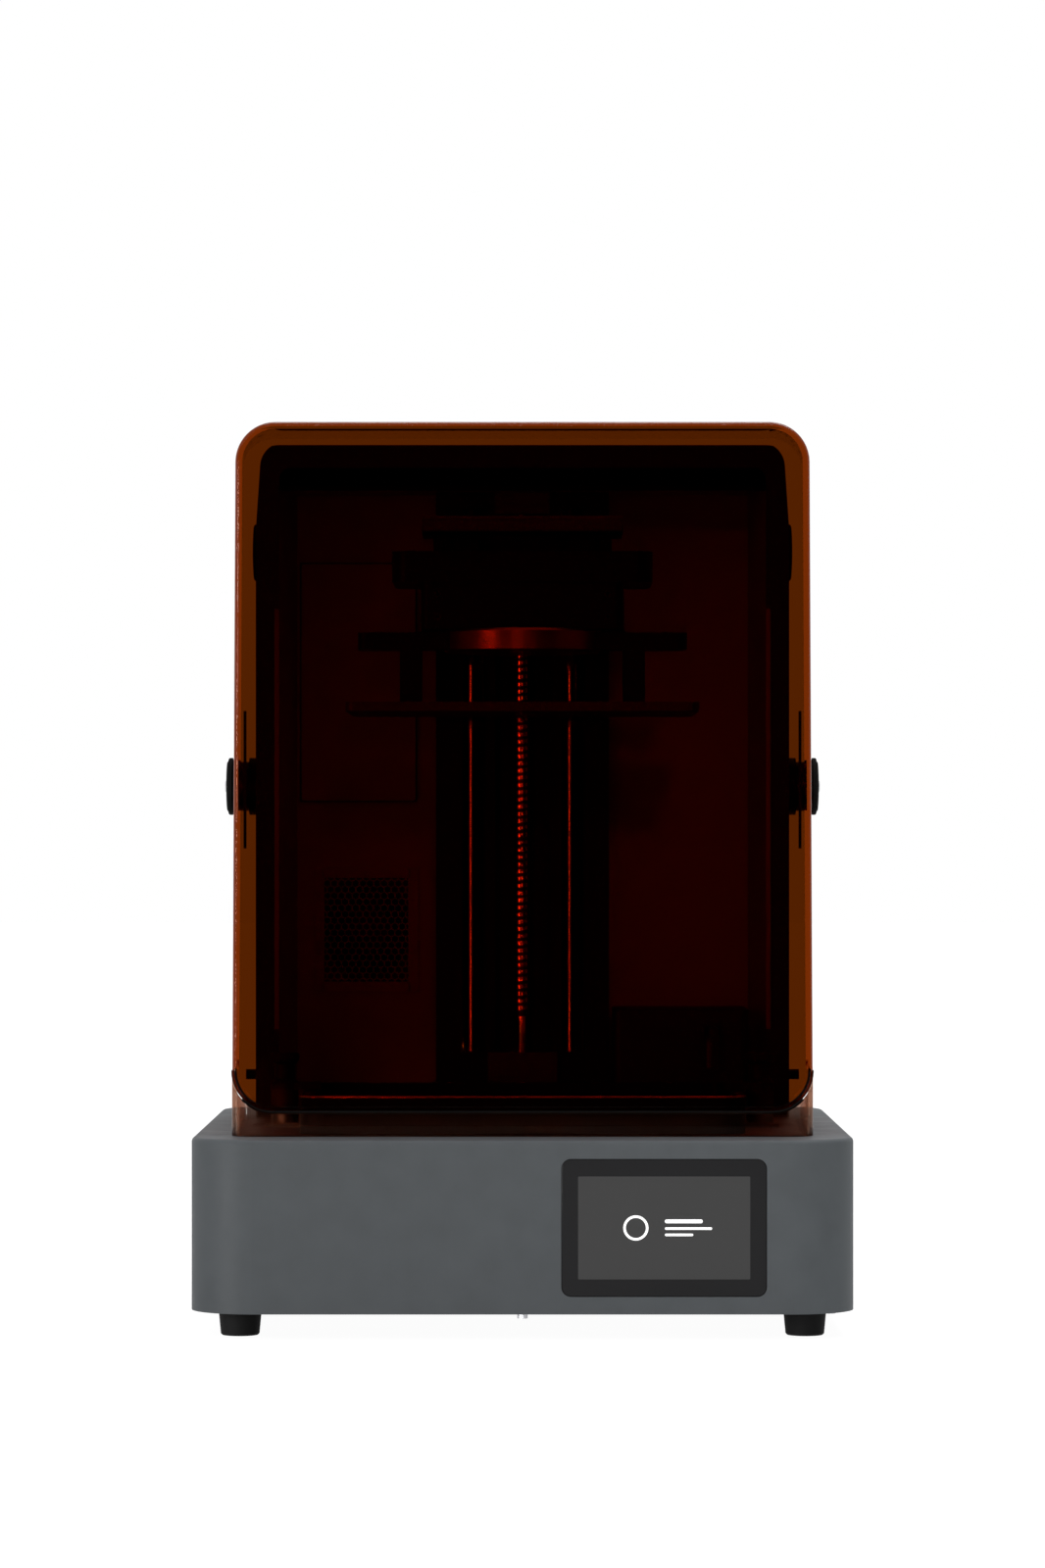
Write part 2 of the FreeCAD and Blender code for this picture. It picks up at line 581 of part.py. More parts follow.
slab = box("-led_width / 2", "led_width / 2", "optic_y - led_depth / 2", "optic_y + led_depth / 2",
           f"{sink_top} - sink_base", sink_top)
done("heatsink", join(slab, *fins))


# fans: a square frame with a round throat and spokes, and a rotor with pitched blades
def rotor(axis, hub, tip, thick, x, y, z):
    core = doc.addObject("Part::Cylinder", "Hub")
    bind(core, "Radius", hub)
    bind(core, "Height", thick)
    core.Placement = FreeCAD.Placement(Vector(0, -number(thick) / 2, 0), turns["y"])
    wheel = [core]
    for i in range(7):
        blade = doc.addObject("Part::Box", "Blade")
        bind(blade, "Length", f"{tip} - ({hub}) + blade_thick")
        bind(blade, "Width", thick)
        bind(blade, "Height", "blade_thick")
        root = Vector(number(f"{hub} - blade_thick"), -number(thick) / 2, 0)
        pitch = FreeCAD.Placement(Vector(), FreeCAD.Rotation(Vector(1, 0, 0), number("blade_pitch")))
        spin = FreeCAD.Placement(Vector(), FreeCAD.Rotation(Vector(0, 1, 0), 360 / 7 * i))
        blade.Placement = spin * pitch * FreeCAD.Placement(root, FreeCAD.Rotation())
        wheel.append(blade)
    made = join(*wheel)
    if axis == "x":
        made.Placement = FreeCAD.Placement(Vector(), FreeCAD.Rotation(Vector(0, 0, 1), 90))
    return put(made, x, y, z)


half_fan = "side_fan_size / 2"
side_z = "floor_top + side_fan_size / 2"
side_far = "side_fan_x + side_fan_thick"
side_box = rounded("x", "side_fan_x", side_far, f"optic_y - {half_fan}", f"optic_y + {half_fan}", "floor_top",
                   "floor_top + side_fan_size", "side_fan_corner")
side_throat = rod("x", "side_rotor_radius + tip_gap", "side_fan_x - side_fan_thick",
                  f"{side_far} + side_fan_thick", "optic_y", side_z)
side_spokes = [box("side_fan_x", "side_fan_x + spoke_thick", f"optic_y - {half_fan} + tip_gap",
                   f"optic_y + {half_fan} - tip_gap", f"{side_z} - spoke_width / 2", f"{side_z} + spoke_width / 2"),
               rod("x", "side_hub_radius", "side_fan_x", "side_fan_x + spoke_thick", "optic_y", side_z)]
done("engine_fan", join(cut(side_box, side_throat), *side_spokes))
side_rotor = "side_fan_thick - 4 * spoke_thick"
done("engine_rotor", rotor("x", "side_hub_radius", "side_rotor_radius", side_rotor,
                           f"side_fan_x + spoke_thick + run_gap + ({side_rotor}) / 2", "optic_y", side_z))


# resin vat: frame, release film, clamp ring
def vat_ring(inset, low, high, radius):
    return centred(f"vat_width - 2 * ({inset})", f"vat_depth - 2 * ({inset})", low, high, radius)


vat_body = vat_ring("0", "film_high", "vat_top", "vat_corner")
soften(vat_body, "vat_rim", lies("z", "vat_top"))
vat_room = vat_ring("vat_wall", "film_high - vat_rim", "vat_top + vat_rim", "vat_inner_corner")
done("vat_frame", cut(vat_body, vat_room))
done("vat_film", vat_ring("film_margin", "film_low", "film_high", "vat_corner - film_margin"))
ring_room = vat_ring("vat_wall", "base_top - ring_height", "film_low + ring_height", "vat_inner_corner")
done("film_ring", cut(vat_ring("0", "base_top", "film_low", "vat_corner"), ring_room))


# clamps that hold the vat: a post on each side and a knob whose paw lies on the rim
def clamp_post(side):
    x = f"{side} * post_x"
    return join(rod("z", "post_radius", "base_top", "vat_top", x, "optic_y"),
                box(f"{x} - post_radius - post_foot", f"{x} + post_radius + post_foot",
                    "optic_y - post_foot_half",
                    "optic_y + post_foot_half", "base_top", "base_top + post_foot"))


done("clamp_posts", both(clamp_post))
for side, name in ((-1, "left"), (1, "right")):
    paw = box("-paw_reach" if side > 0 else "0", "0" if side > 0 else "paw_reach", "-paw_half", "paw_half",
              "0",
              "paw_height")
    waist = "knob_radius - knob_waist"
    grip = turned([("0", "0"), ("knob_radius", "0"), ("knob_radius", "paw_height"),
                   (waist, "paw_height + knob_waist"), (waist, "knob_height - knob_crown - knob_waist"),
                   ("knob_radius", "knob_height - knob_crown"), ("knob_radius", "knob_height - knob_chamfer"),
                   ("knob_radius - knob_chamfer", "knob_height"), ("0", "knob_height")])
    done(f"clamp_knob_{name}", put(join(grip, paw), f"{side} * post_x", "optic_y", "knob_low"))

# Z column with its screw channel, rails, bearings, motor and screw
done("z_column", prism("XY", [("-column_half", "liner_back"), ("-column_half", "column_front"),
                              ("-channel_half", "column_front"), ("-channel_half", "channel_back"),
                              ("channel_half", "channel_back"), ("channel_half", "column_front"),
                              ("column_half", "column_front"), ("column_half", "liner_back")],
                       "base_top", "column_top"))


def rail(side):
    x = f"{side} * rail_x"
    left = f"{x} - rail_half"
    right = f"{x} + rail_half"
    face = "column_front - rail_height"
    foot = "column_front - rail_foot"
    dip = "column_front - rail_foot - rail_groove / 2"
    head = "column_front - rail_foot - rail_groove"
    return prism("XY", [(left, "column_front"), (left, foot), (f"{x} - rail_waist", dip), (left, head),
                        (left, face),
                        (right, face), (right, head), (f"{x} + rail_waist", dip), (right, foot),
                        (right, "column_front")], "rail_low", "rail_high")


done("guide_rails", both(rail))
journal_hole = rod("z", "journal_radius + seat_gap", "base_top - base_wall", "column_top + base_wall", 0,
                   "screw_y")
lower_bearing = join(box("-bearing_half", "bearing_half", "bearing_front", "column_front", "base_top",
                         "bearing_top"),
                     box("-channel_half", "channel_half", "column_front - bearing_lip", "channel_back",
                         "base_top",
                         "bearing_top"))
upper_bearing = box("-channel_half", "channel_half", "column_front - bearing_lip", "channel_back",
                    "column_top - bearing_height", "column_top")
done("screw_bearings", group(cut(lower_bearing, journal_hole), cut(upper_bearing, journal_hole)))
done("ball_screw", put(turned([("0", "journal_low"), ("journal_radius", "journal_low"),
                               ("journal_radius", "thread_low"), ("screw_radius", "thread_low"),
                               ("screw_radius", "thread_high"), ("journal_radius", "thread_high"),
                               ("journal_radius", "journal_high"), ("0", "journal_high")]), 0, "screw_y", 0))
bore = "journal_radius + press_gap"
neck_radius = "coupling_radius - coupling_waist"
done("shaft_coupling", put(turned([("0", "coupling_low"), ("coupling_radius", "coupling_low"),
                                   ("coupling_radius", "coupling_low + coupling_jaw"),
                                   (neck_radius, "coupling_low + coupling_jaw + coupling_waist / 2"),
                                   (neck_radius, "coupling_high - coupling_jaw - coupling_waist / 2"),
                                   ("coupling_radius", "coupling_high - coupling_jaw"),
                                   ("coupling_radius", "coupling_high"), (bore, "coupling_high"),
                                   (bore, "journal_low"), ("0", "journal_low")]), 0, "screw_y", 0))
motor = rounded("z", "-motor_half", "motor_half", "screw_y - motor_half", "screw_y + motor_half",
                "mount_low - motor_height", "mount_low", "motor_corner")
pilot = rod("z", "motor_pilot", "mount_low - pilot_height", "mount_low + pilot_height", 0, "screw_y")
shaft = rod("z", "journal_radius", "mount_low", "coupling_low - run_gap", 0, "screw_y")
done("z_motor", join(motor, pilot, shaft))
mount_half = "motor_half + mount_wall"
mount_front = "screw_y - motor_half"
mount_back = "screw_y + motor_half"
mount = join(box(f"-({mount_half})", mount_half, mount_front, mount_back, "mount_low",
                 "mount_low + mount_thick"),
             box(f"-({mount_half})", "-motor_half", mount_front, mount_back, "mount_low", "roof_under"),
             box("motor_half", mount_half, mount_front, mount_back, "mount_low", "roof_under"))
pilot_hole = rod("z", "motor_pilot + seat_gap", "mount_low - mount_thick", "mount_low + 2 * mount_thick",
                 0, "screw_y")
done("motor_mount", cut(mount, pilot_hole))


# carriage and platform, raised as photographed
def rail_block(side):
    x = f"{side} * rail_x"
    slot = "rail_half + run_gap"
    face = "column_front - rail_height - run_gap"
    return prism("XY", [(f"{x} - block_half", "block_back"), (f"{x} - block_half", "block_front"),
                        (f"{x} + block_half", "block_front"), (f"{x} + block_half", "block_back"),
                        (f"{x} + {slot}", "block_back"), (f"{x} + {slot}", face), (f"{x} - ({slot})", face),
                        (f"{x} - ({slot})", "block_back")], "block_low", "block_high")


done("rail_blocks", both(rail_block))
done("carriage_plate", rounded("y", "-carriage_half", "carriage_half", "carriage_front", "block_front",
                               "carriage_low", "carriage_high", "carriage_corner"))
nut = join(rod("z", "nut_radius", "nut_low", "nut_high", 0, "screw_y"),
           box("-nut_radius", "nut_radius", "block_front", "screw_y", "nut_low", "nut_high"))
nut_hole = rod("z", "screw_radius + run_gap", "nut_low - nut_radius", "nut_high + nut_radius", 0, "screw_y")
done("screw_nut", cut(nut, nut_hole))
beam = rounded("z", "-beam_half", "beam_half", "beam_front", "beam_back", "beam_low", "beam_high",
               "beam_corner")
neck = prism("YZ", [("beam_back - neck_root", "beam_low"), ("beam_back", "beam_low"),
                    ("carriage_front", "beam_low - neck_drop"), ("carriage_front", "beam_high + neck_rise"),
                    ("beam_back", "beam_high"), ("beam_back - neck_root",
                                                 "beam_high")], "-neck_half", "neck_half")
pocket = rounded("z", "-pocket_half", "pocket_half", "beam_back - pocket_root",
                 "carriage_front - pocket_wall",
                 "beam_low - 2 * neck_drop", "beam_high + 2 * neck_rise", "pocket_corner")


def ear(side):
    x0, x1 = mirrored(side, "lever_half - lever_arm - run_gap - ear_width",
                      "lever_half - lever_arm - run_gap")
    pin0, pin1 = mirrored(side, "lever_half - lever_arm - run_gap - ear_width", "lever_half + pin_end")
    return join(box(x0, x1, "lever_y - ear_half", "lever_y + ear_half", "beam_high - pin_end", "lever_z"),
                rod("x", "ear_half", x0, x1, "lever_y", "lever_z"),
                rod("x", "lever_pin", pin0, pin1, "lever_y", "lever_z"))


done("platform_arm", cut(join(beam, neck, ear(-1), ear(1)), pocket))
head = prism("XZ", oblong("-head_half", "head_half", "head_low", "beam_low"), "head_front", "head_back")
done("head_block", soften(head, "head_corner", runs("z")))
bar = rounded("z", "-bridge_half", "bridge_half", "bridge_front", "bridge_back", "bridge_low", "bridge_high",
              "bridge_corner")
legs = [box(f"{side} * leg_x - leg_half", f"{side} * leg_x + leg_half", "bridge_front", "bridge_back",
            "plate_high",
            "bridge_low + pad_rise") for side in (-1, 1)]
done("platform_bridge", join(bar, *legs))
joint_height = "(head_low - bridge_low + joint_drop)"
joint = turned([("0", "0"), ("joint_radius - joint_chamfer", "0"), ("joint_radius", "joint_chamfer"),
                ("joint_radius", f"{joint_height} - joint_chamfer"),
                ("joint_radius - joint_chamfer", joint_height), ("0", joint_height)])
bar_slot = box("-plate_half", "plate_half", "bridge_front", "bridge_back", "bridge_low", "bridge_high")
done("platform_joint", cut(put(joint, 0, "optic_y", "bridge_low - joint_drop"), bar_slot))
plate = rounded("z", "-plate_half", "plate_half", "plate_front", "plate_back", "plate_low", "plate_high",
                "plate_corner")
soften(plate, "plate_chamfer", lies("z", "plate_low"), "Chamfer")
done("build_plate", plate)
lever_bar = rounded("x", "-lever_half", "lever_half", "lever_front", "lever_front + lever_bar", "lever_low",
                    "lever_high", "lever_corner")
lever_arms = []
for side in (-1, 1):
    x0, x1 = mirrored(side, "lever_half - lever_arm", "lever_half")
    lever_arms.append(rounded("x", x0, x1, "lever_front + lever_lap", "lever_y + lever_tail", "lever_low",
                              "lever_high", "lever_corner"))
lever_hole = rod("x", "lever_pin + run_gap", "-lever_half - lever_arm", "lever_half + lever_arm",
                 "lever_y", "lever_z")
done("lock_lever", cut(join(lever_bar, *lever_arms), lever_hole))

# resin feed unit and its bent spout
feed = rounded("z", "feed_left", "feed_right", "feed_front", "feed_back", "base_top", "feed_top",
               "feed_corner")
soften(feed, "feed_edge", lies("z", "feed_top"))
done("feed_unit", feed)


def pipe(radius):
    body = doc.addObject("PartDesign::Body", "Pipe")
    path = sketch_on(body, "YZ", "spout_x")
    high = "base_top + spout_high"
    turn_y = "feed_front - spout_reach + spout_bend"
    turn_z = f"{high} - spout_bend"
    tip_y = f"{turn_y} - spout_bend"
    tip_z = f"{high} - spout_drop"
    start = Vector(number("feed_front"), number(high), 0)
    bend_in = Vector(number(turn_y), number(high), 0)
    bend_out = Vector(number(tip_y), number(turn_z), 0)
    tip = Vector(number(tip_y), number(tip_z), 0)
    middle = Vector(number(turn_y), number(turn_z), 0)
    bend = Part.Circle(middle, Vector(0, 0, 1), number("spout_bend"))
    path.addGeometry(Part.LineSegment(start, bend_in), False)
    path.addGeometry(Part.ArcOfCircle(bend, 1.5707963, 3.1415927), False)
    path.addGeometry(Part.LineSegment(bend_out, tip), False)
    fix_point(path, 0, 1, "feed_front", high)
    fix_point(path, 0, 2, turn_y, high)
    fix_point(path, 2, 2, tip_y, tip_z)
    fix_point(path, 2, 1, tip_y, turn_z)
    path.addConstraint(Sketcher.Constraint("Coincident", 0, 2, 1, 1))
    path.addConstraint(Sketcher.Constraint("Coincident", 1, 2, 2, 1))
    bound = path.addConstraint(Sketcher.Constraint("Radius", 1, number("spout_bend")))
    bind(path, f"Constraints[{bound}]", "spout_bend")
    ring = sketch_on(body, "XZ", "-feed_front")
    circle(ring, "spout_x", high, radius)
    swept = body.newObject("PartDesign::AdditivePipe", "Pipe")
    swept.Profile = ring
    swept.Spine = path
    return body


done("feed_spout", cut(pipe("spout_radius"), pipe("spout_bore")))


# rear housing: front outline, tapered at the top, trimmed by the side outline that clears the swinging hood
def housing_solid(inset, front, low):
    shoulder = "housing_top - taper_height"
    top = f"housing_top - {inset}"
    back = f"housing_back - {inset}"
    face = prism("XZ", [(f"-housing_half + {inset}", low), (f"housing_half - {inset}", low),
                        (f"housing_half - {inset}", shoulder), (f"housing_top_half - {inset}", top),
                        (f"-housing_top_half + {inset}", top), (f"-housing_half + {inset}",
                                                                shoulder)], front, back)
    soften(face, f"housing_corner - {inset}", lambda e: runs("y")(e) and lies("z", top)(e))
    soften(face, f"back_round - {inset}", lambda e: runs("z")(e) and lies("y", back)(e))
    dome = rod("x", f"sweep_radius - {inset}", "-base_half", "base_half", "pivot_y", "pivot_z")
    lower = box("-base_half", "base_half", "housing_front - housing_wall", "back_y", low, "pivot_z")
    return shared(face, join(dome, lower))


mouth = rounded("y", "-rim_half", "rim_half", "housing_front - housing_wall",
                "housing_front + 2 * housing_wall",
                "base_top - 2 * rim_corner", "rim_top", "rim_corner")
back_slots = []
for i in count("vent_count"):
    slot_z = f"fan_z + ({i} - (vent_count - 1) / 2) * vent_pitch"
    back_slots.append(rounded("y", "fan_x - vent_length / 2", "fan_x + vent_length / 2",
                              "housing_back - 2 * housing_wall", "back_y", f"{slot_z} - vent_slot / 2",
                              f"{slot_z} + vent_slot / 2", "vent_slot / 2.01"))
housing_room = housing_solid("housing_wall", "housing_front + housing_wall", "base_top - housing_wall")
done("rear_housing", cut(housing_solid("0", "housing_front", "base_top"), housing_room, mouth, *back_slots))

# chamber liner, its cover, grille and fan
liner_face = "housing_front + housing_wall"


def liner_plan(inset):
    front_half = f"rim_half + liner_thick - {inset}"
    back_half = f"liner_half + liner_thick - {inset}"
    back = f"liner_back + liner_thick - {inset}"
    return [(f"-({front_half})", liner_face), (f"-({back_half})", back), (back_half, back), (front_half,
                                                                                             liner_face)]


liner = prism("XY", liner_plan("0"), "base_top", "liner_top")
liner_room = prism("XY", liner_plan("liner_thick"), "base_top - liner_thick", "liner_top - liner_thick")
grille_left = "fan_x - grille_width / 2"
grille_right = "fan_x + grille_width / 2"
grille_low = "fan_z - grille_height / 2"
grille_high = "fan_z + grille_height / 2"
grille_hole = box(f"{grille_left} + grille_rim", f"{grille_right} - grille_rim", "liner_back - liner_thick",
                  "fan_front + liner_thick", f"{grille_low} + grille_rim", f"{grille_high} - grille_rim")
done("chamber_liner", cut(liner, liner_room, grille_hole))
cover_face = "liner_back - cover_thick"
cover = rounded("y", "cover_left", "cover_right", cover_face, "liner_back", "cover_low", "cover_high",
                "cover_corner")
soften(cover, "cover_edge", lies("y", cover_face))
thumb = rod("y", "thumb_radius", f"{cover_face} - cover_thick", f"{cover_face} + thumb_depth",
            "(cover_left + cover_right) / 2", "cover_high - thumb_drop")
done("filter_cover", cut(cover, thumb))
grille_plate = rounded("y", grille_left, grille_right, "liner_back - grille_thick", "liner_back", grille_low,
                       grille_high, "grille_corner")
hexes = []
for i in count("hex_rows"):
    for k in count("hex_columns"):
        hole = doc.addObject("Part::Prism", "Hex")
        hole.Polygon = 6
        hole.Placement = FreeCAD.Placement(Vector(), turns["y"])
        bind(hole, "Circumradius", "hex_across / sqrt(3)")
        bind(hole, "Height", "3 * grille_thick")
        shift = 0.25 if i % 2 else -0.25
        hexes.append(put(hole, f"fan_x + ({k} - (hex_columns - 1) / 2 + {shift}) * hex_pitch",
                         "liner_back - 2 * grille_thick",
                         f"fan_z + ({i} - (hex_rows - 1) / 2) * hex_pitch * sqrt(3) / 2"))
done("fan_grille", cut(grille_plate, *hexes))
fan_half = "fan_size / 2"
fan_frame = rounded("y", f"fan_x - {fan_half}", f"fan_x + {fan_half}", "fan_front", "fan_back",
                    f"fan_z - {fan_half}",
                    f"fan_z + {fan_half}", "fan_corner")
fan_throat = rod("y", "rotor_radius + rotor_gap", "fan_front - fan_thick", "fan_back + fan_thick", "fan_x",
                 "fan_z")
spoke_face = "fan_back - fan_spoke_thick"
fan_spokes = [box(f"fan_x - {fan_half} + tip_gap", f"fan_x + {fan_half} - tip_gap", spoke_face, "fan_back",
                  "fan_z - fan_spoke / 2", "fan_z + fan_spoke / 2"),
              box("fan_x - fan_spoke / 2", "fan_x + fan_spoke / 2", spoke_face, "fan_back",
                  f"fan_z - {fan_half} + tip_gap", f"fan_z + {fan_half} - tip_gap"),
              rod("y", "hub_radius", spoke_face, "fan_back", "fan_x", "fan_z")]
done("chamber_fan", join(cut(fan_frame, fan_throat), *fan_spokes))
done("air_filter", rounded("y", "fan_x - filter_half", "fan_x + filter_half", "fan_back",
                           "housing_back - housing_wall", "fan_z - filter_half", "fan_z + filter_half",
                           "fan_corner"))
rotor_thick = "fan_thick - rotor_inset"
done("chamber_rotor", rotor("y", "hub_radius", "rotor_radius", rotor_thick, "fan_x",
                            f"{spoke_face} - run_gap - ({rotor_thick}) / 2", "fan_z"))


def trim(side):
    x0, x1 = mirrored(side, "rim_half", "rim_half + trim_width")
    return box(x0, x1, "housing_front - trim_depth", "housing_front", "trim_low", "trim_high")


done("trim_strips", both(trim))


# what sits on the housing's sides
def bumper(side):
    ball = doc.addObject("Part::Sphere", "Ball")
    bind(ball, "Radius", "bumper_ball")
    put(ball, f"{side} * (housing_half + bumper_thick - bumper_ball)", "bumper_y", "bumper_z")
    x0, x1 = mirrored(side, "housing_half", "housing_half + 2 * bumper_thick")
    return shared(ball, box(x0, x1, "bumper_y - 2 * bumper_radius", "bumper_y + 2 * bumper_radius",
                            "bumper_z - 2 * bumper_radius", "bumper_z + 2 * bumper_radius"))


def peg(side):
    x0, x1 = mirrored(side, "housing_half", "housing_half + peg_length")
    return rod("x", "peg_radius", x0, x1, "peg_y", "peg_z")


def hinge_flange(side):
    x0, x1 = mirrored(side, "housing_half", "housing_half + flange_thick")
    stub0, stub1 = mirrored(side, "housing_half", "cap_start - run_gap")
    return join(rod("x", "flange_radius", x0, x1, "pivot_y", "pivot_z"),
                rod("x", "pin_radius", stub0, stub1, "pivot_y", "pivot_z"))


done("side_bumpers", both(bumper))
done("stop_pegs", both(peg))
done("hinge_flanges", both(hinge_flange))


# hood: a drafted tub, open below and behind
def hood_solid(inset, start, end):
    grow = f"(({start}) - hood_front) * hood_tan - ({inset})"
    body = prism("XZ", [(f"-hood_low_half - ({grow})", f"hood_bottom - ({grow})"),
                        (f"hood_low_half + {grow}", f"hood_bottom - ({grow})"),
                        (f"hood_top_half + {grow}", f"hood_top + {grow}"),
                        (f"-hood_top_half - ({grow})", f"hood_top + {grow}")], start, end, "hood_flare")
    long_way = number(f"({end}) - ({start})") * 0.9
    soften(body, f"hood_corner - ({inset})",
           lambda e: abs(e.Vertexes[-1].Point.y - e.Vertexes[0].Point.y) > long_way)
    return body


def hinge_hole():
    return rod("x", "bush_radius + press_gap", "-base_width", "base_width", "pivot_y", "pivot_z")


tub = hood_solid("0", "hood_front", "hood_rear")
soften(tub, "hood_edge", lies("y", "hood_front"))
hood_room = hood_solid("hood_wall", "hood_front + hood_wall", "hood_rear + hood_edge")
underside = box("-base_width", "base_width", "hood_front + lip_depth", "hood_rear + rear_round",
                "hood_bottom - side_low", "side_bottom")
corner_y = "hood_rear - rear_round"
corner_z = "side_bottom + rear_round"
corner_block = box("-base_width", "base_width", corner_y, "hood_rear + rear_round",
                   "side_bottom - rear_round", corner_z)
corner_round = rod("x", "rear_round", "-base_width", "base_width", corner_y, corner_z)
done("hood_shell", cut(tub, hood_room, underside, cut(corner_block, corner_round), hinge_hole()))


def hinge_bush(side):
    near, far = mirrored(side, "bush_start", "cap_start")
    return cut(rod("x", "bush_radius", near, far, "pivot_y", "pivot_z"),
               rod("x", "pin_radius + run_gap", "-base_width", "base_width", "pivot_y", "pivot_z"))


def hinge_cap(side):
    disc = turned([("0", "0"), ("flange_radius", "0"), ("flange_radius", "cap_thick - cap_chamfer"),
                   ("flange_radius - cap_chamfer", "cap_thick"), ("cap_ring", "cap_thick"),
                   ("cap_ring", "cap_thick + cap_rise"), ("cap_well", "cap_thick + cap_rise"),
                   ("cap_well", "cap_thick"), ("cap_button", "cap_thick"),
                   ("cap_button", "cap_thick + cap_rise"), ("0", "cap_thick + cap_rise")])
    disc.Placement = FreeCAD.Placement(Vector(), FreeCAD.Rotation(Vector(0, 1, 0), 90 * side))
    return put(disc, f"{side} * cap_start", "pivot_y", "pivot_z")


def hinge_plate(side):
    slab = rounded("x", "-hinge_plate_thick / 2", "hinge_plate_thick / 2", "-hinge_plate_half",
                   "hinge_plate_half",
                   "-hinge_plate_low", "hinge_plate_high", "hinge_plate_corner")
    slab.Placement = FreeCAD.Placement(Vector(), FreeCAD.Rotation(Vector(0, 0, 1),
                                                                  -side * number("hood_flare")))
    put(slab, f"{side} * hinge_plate_x", "pivot_y", "pivot_z")
    return cut(slab, hinge_hole())


done("hinge_bushes", both(hinge_bush))
done("hinge_caps", both(hinge_cap))
done("hinge_plates", both(hinge_plate))


# sill round the front and sides, shaped to the hood's lower corners
def sill_solid(inset, length, low, high):
    spread = f"hood_low_half + sill_flare * ({length}) / sill_length - {inset}"
    front = f"hood_front - sill_front + {inset}"
    back = f"hood_front - sill_front + {length}"
    body = prism("XY", [(f"-hood_low_half + {inset}", front), (f"hood_low_half - {inset}", front), (spread,
                                                                                                    back),
                        (f"-({spread})", back)], low, high)
    level = number(front)
    return soften(body, f"sill_corner - {inset}",
                  lambda e: runs("z")(e) and abs(e.Vertexes[0].Point.y - level) < 1e-4)


sill_outer = sill_solid("0", "sill_length", "base_top", "side_bottom - part_gap")
sill_room = sill_solid("sill_wall", "sill_length + sill_wall", "base_top - sill_wall",
                       "side_bottom + sill_wall")
hood_seat = shared(hood_solid("-part_gap", "hood_front - lip_depth", "hood_rear"),
                   box("-base_width", "base_width", "hood_front - lip_depth",
                       "hood_front + lip_depth + part_gap",
                       "base_top", "hood_top + lip_depth"))
done("sill", cut(sill_outer, sill_room, hood_seat))

# main board, power supply and the rear panel
board = box("board_left", "board_right", "board_front", "board_back", "board_low", "board_top")
posts = [rod("z", "standoff_radius", "floor_top", "board_low + board_thick / 2", x, y)
         for x in ("board_left + standoff_inset", "board_right - standoff_inset")
         for y in ("board_front + standoff_inset", "board_back - standoff_inset")]
chip = box("board_left + chip_side", "board_left + chip_side + chip_size", "board_front + chip_set",
           "board_front + chip_set + chip_size", "board_low + board_thick / 2", "board_top + chip_height")
plugs = box("board_left + plug_side", "board_left + plug_side + plug_width", "board_front + plug_set",
            "board_back - plug_end", "board_low + board_thick / 2", "board_top + 2 * chip_height")
done("main_board", join(board, *posts, chip, plugs))
done("power_supply", rounded("y", "supply_left", "supply_left + supply_width", "supply_front",
                             "supply_front + supply_length", "floor_top", "floor_top + supply_height",
                             "supply_corner"))


def rear_frame(middle, half_width, half_height, front, back, radius=None):
    sides = (f"{middle} - ({half_width})", f"{middle} + {half_width}", front, back,
             f"rear_z - ({half_height})",
             f"rear_z + {half_height}")
    return rounded("y", *sides, radius) if radius else box(*sides)


inlet_half = "inlet_width / 2"
inlet_rise = "inlet_height / 2"
inlet_deep = "inner_back - inlet_depth"
inlet_face = "inner_back + inlet_flange"
switch_half = "switch_width / 2"
switch_rise = "switch_height / 2"
switch_out = f"{switch_half} + switch_wall"
switch_up = f"{switch_rise} + switch_wall"
rear_plate = box("rear_left - rear_rim", "rear_right + rear_rim", "inner_back - rear_thick", "inner_back",
                 "rear_low - rear_rim", "rear_high + rear_rim")
inlet_hole = rear_frame("inlet_x", f"{inlet_half} + seat_gap", f"{inlet_rise} + seat_gap",
                        "inner_back - 2 * rear_thick", "inner_back + rear_thick")
switch_hole = rear_frame("switch_x", f"{switch_out} + seat_gap", f"{switch_up} + seat_gap",
                         "inner_back - 2 * rear_thick", "inner_back + rear_thick")
done("rear_panel", cut(rear_plate, inlet_hole, switch_hole))
inlet_brim = rear_frame("inlet_x", f"{inlet_half} + inlet_rim", f"{inlet_rise} + inlet_rim", "inner_back",
                        inlet_face,
                        "inlet_corner")
inlet_body = rear_frame("inlet_x", inlet_half, inlet_rise, inlet_deep, "inner_back + inlet_flange / 2")
inlet_room = rear_frame("inlet_x", f"{inlet_half} - inlet_wall", f"{inlet_rise} - inlet_wall",
                        f"{inlet_deep} + inlet_floor", f"{inlet_face} + inlet_flange", "inlet_corner")
contacts = []
for i in (-1, 0, 1):
    x = f"inlet_x + {i} * blade_gap"
    z = f"rear_z + {1 - abs(i)} * blade_half"
    contacts.append(box(f"{x} - blade_size / 2", f"{x} + blade_size / 2", f"{inlet_deep} + inlet_floor / 2",
                        f"{inlet_deep} + inlet_floor + blade_length", f"{z} - blade_half", f"{z} + blade_half"))
done("power_inlet", join(cut(join(inlet_brim, inlet_body), inlet_room), *contacts))
switch_body = rear_frame("switch_x", switch_out, switch_up, "inner_back - switch_depth",
                         "inner_back + inlet_flange / 2")
switch_brim = rear_frame("switch_x", f"{switch_out} + switch_rim", f"{switch_up} + switch_rim", "inner_back",
                         inlet_face, "switch_rim")
switch_room = rear_frame("switch_x", switch_half, switch_rise, "inner_back - switch_depth + switch_floor",
                         f"{inlet_face} + inlet_flange")
rocker_y = "inner_back - rocker_set"
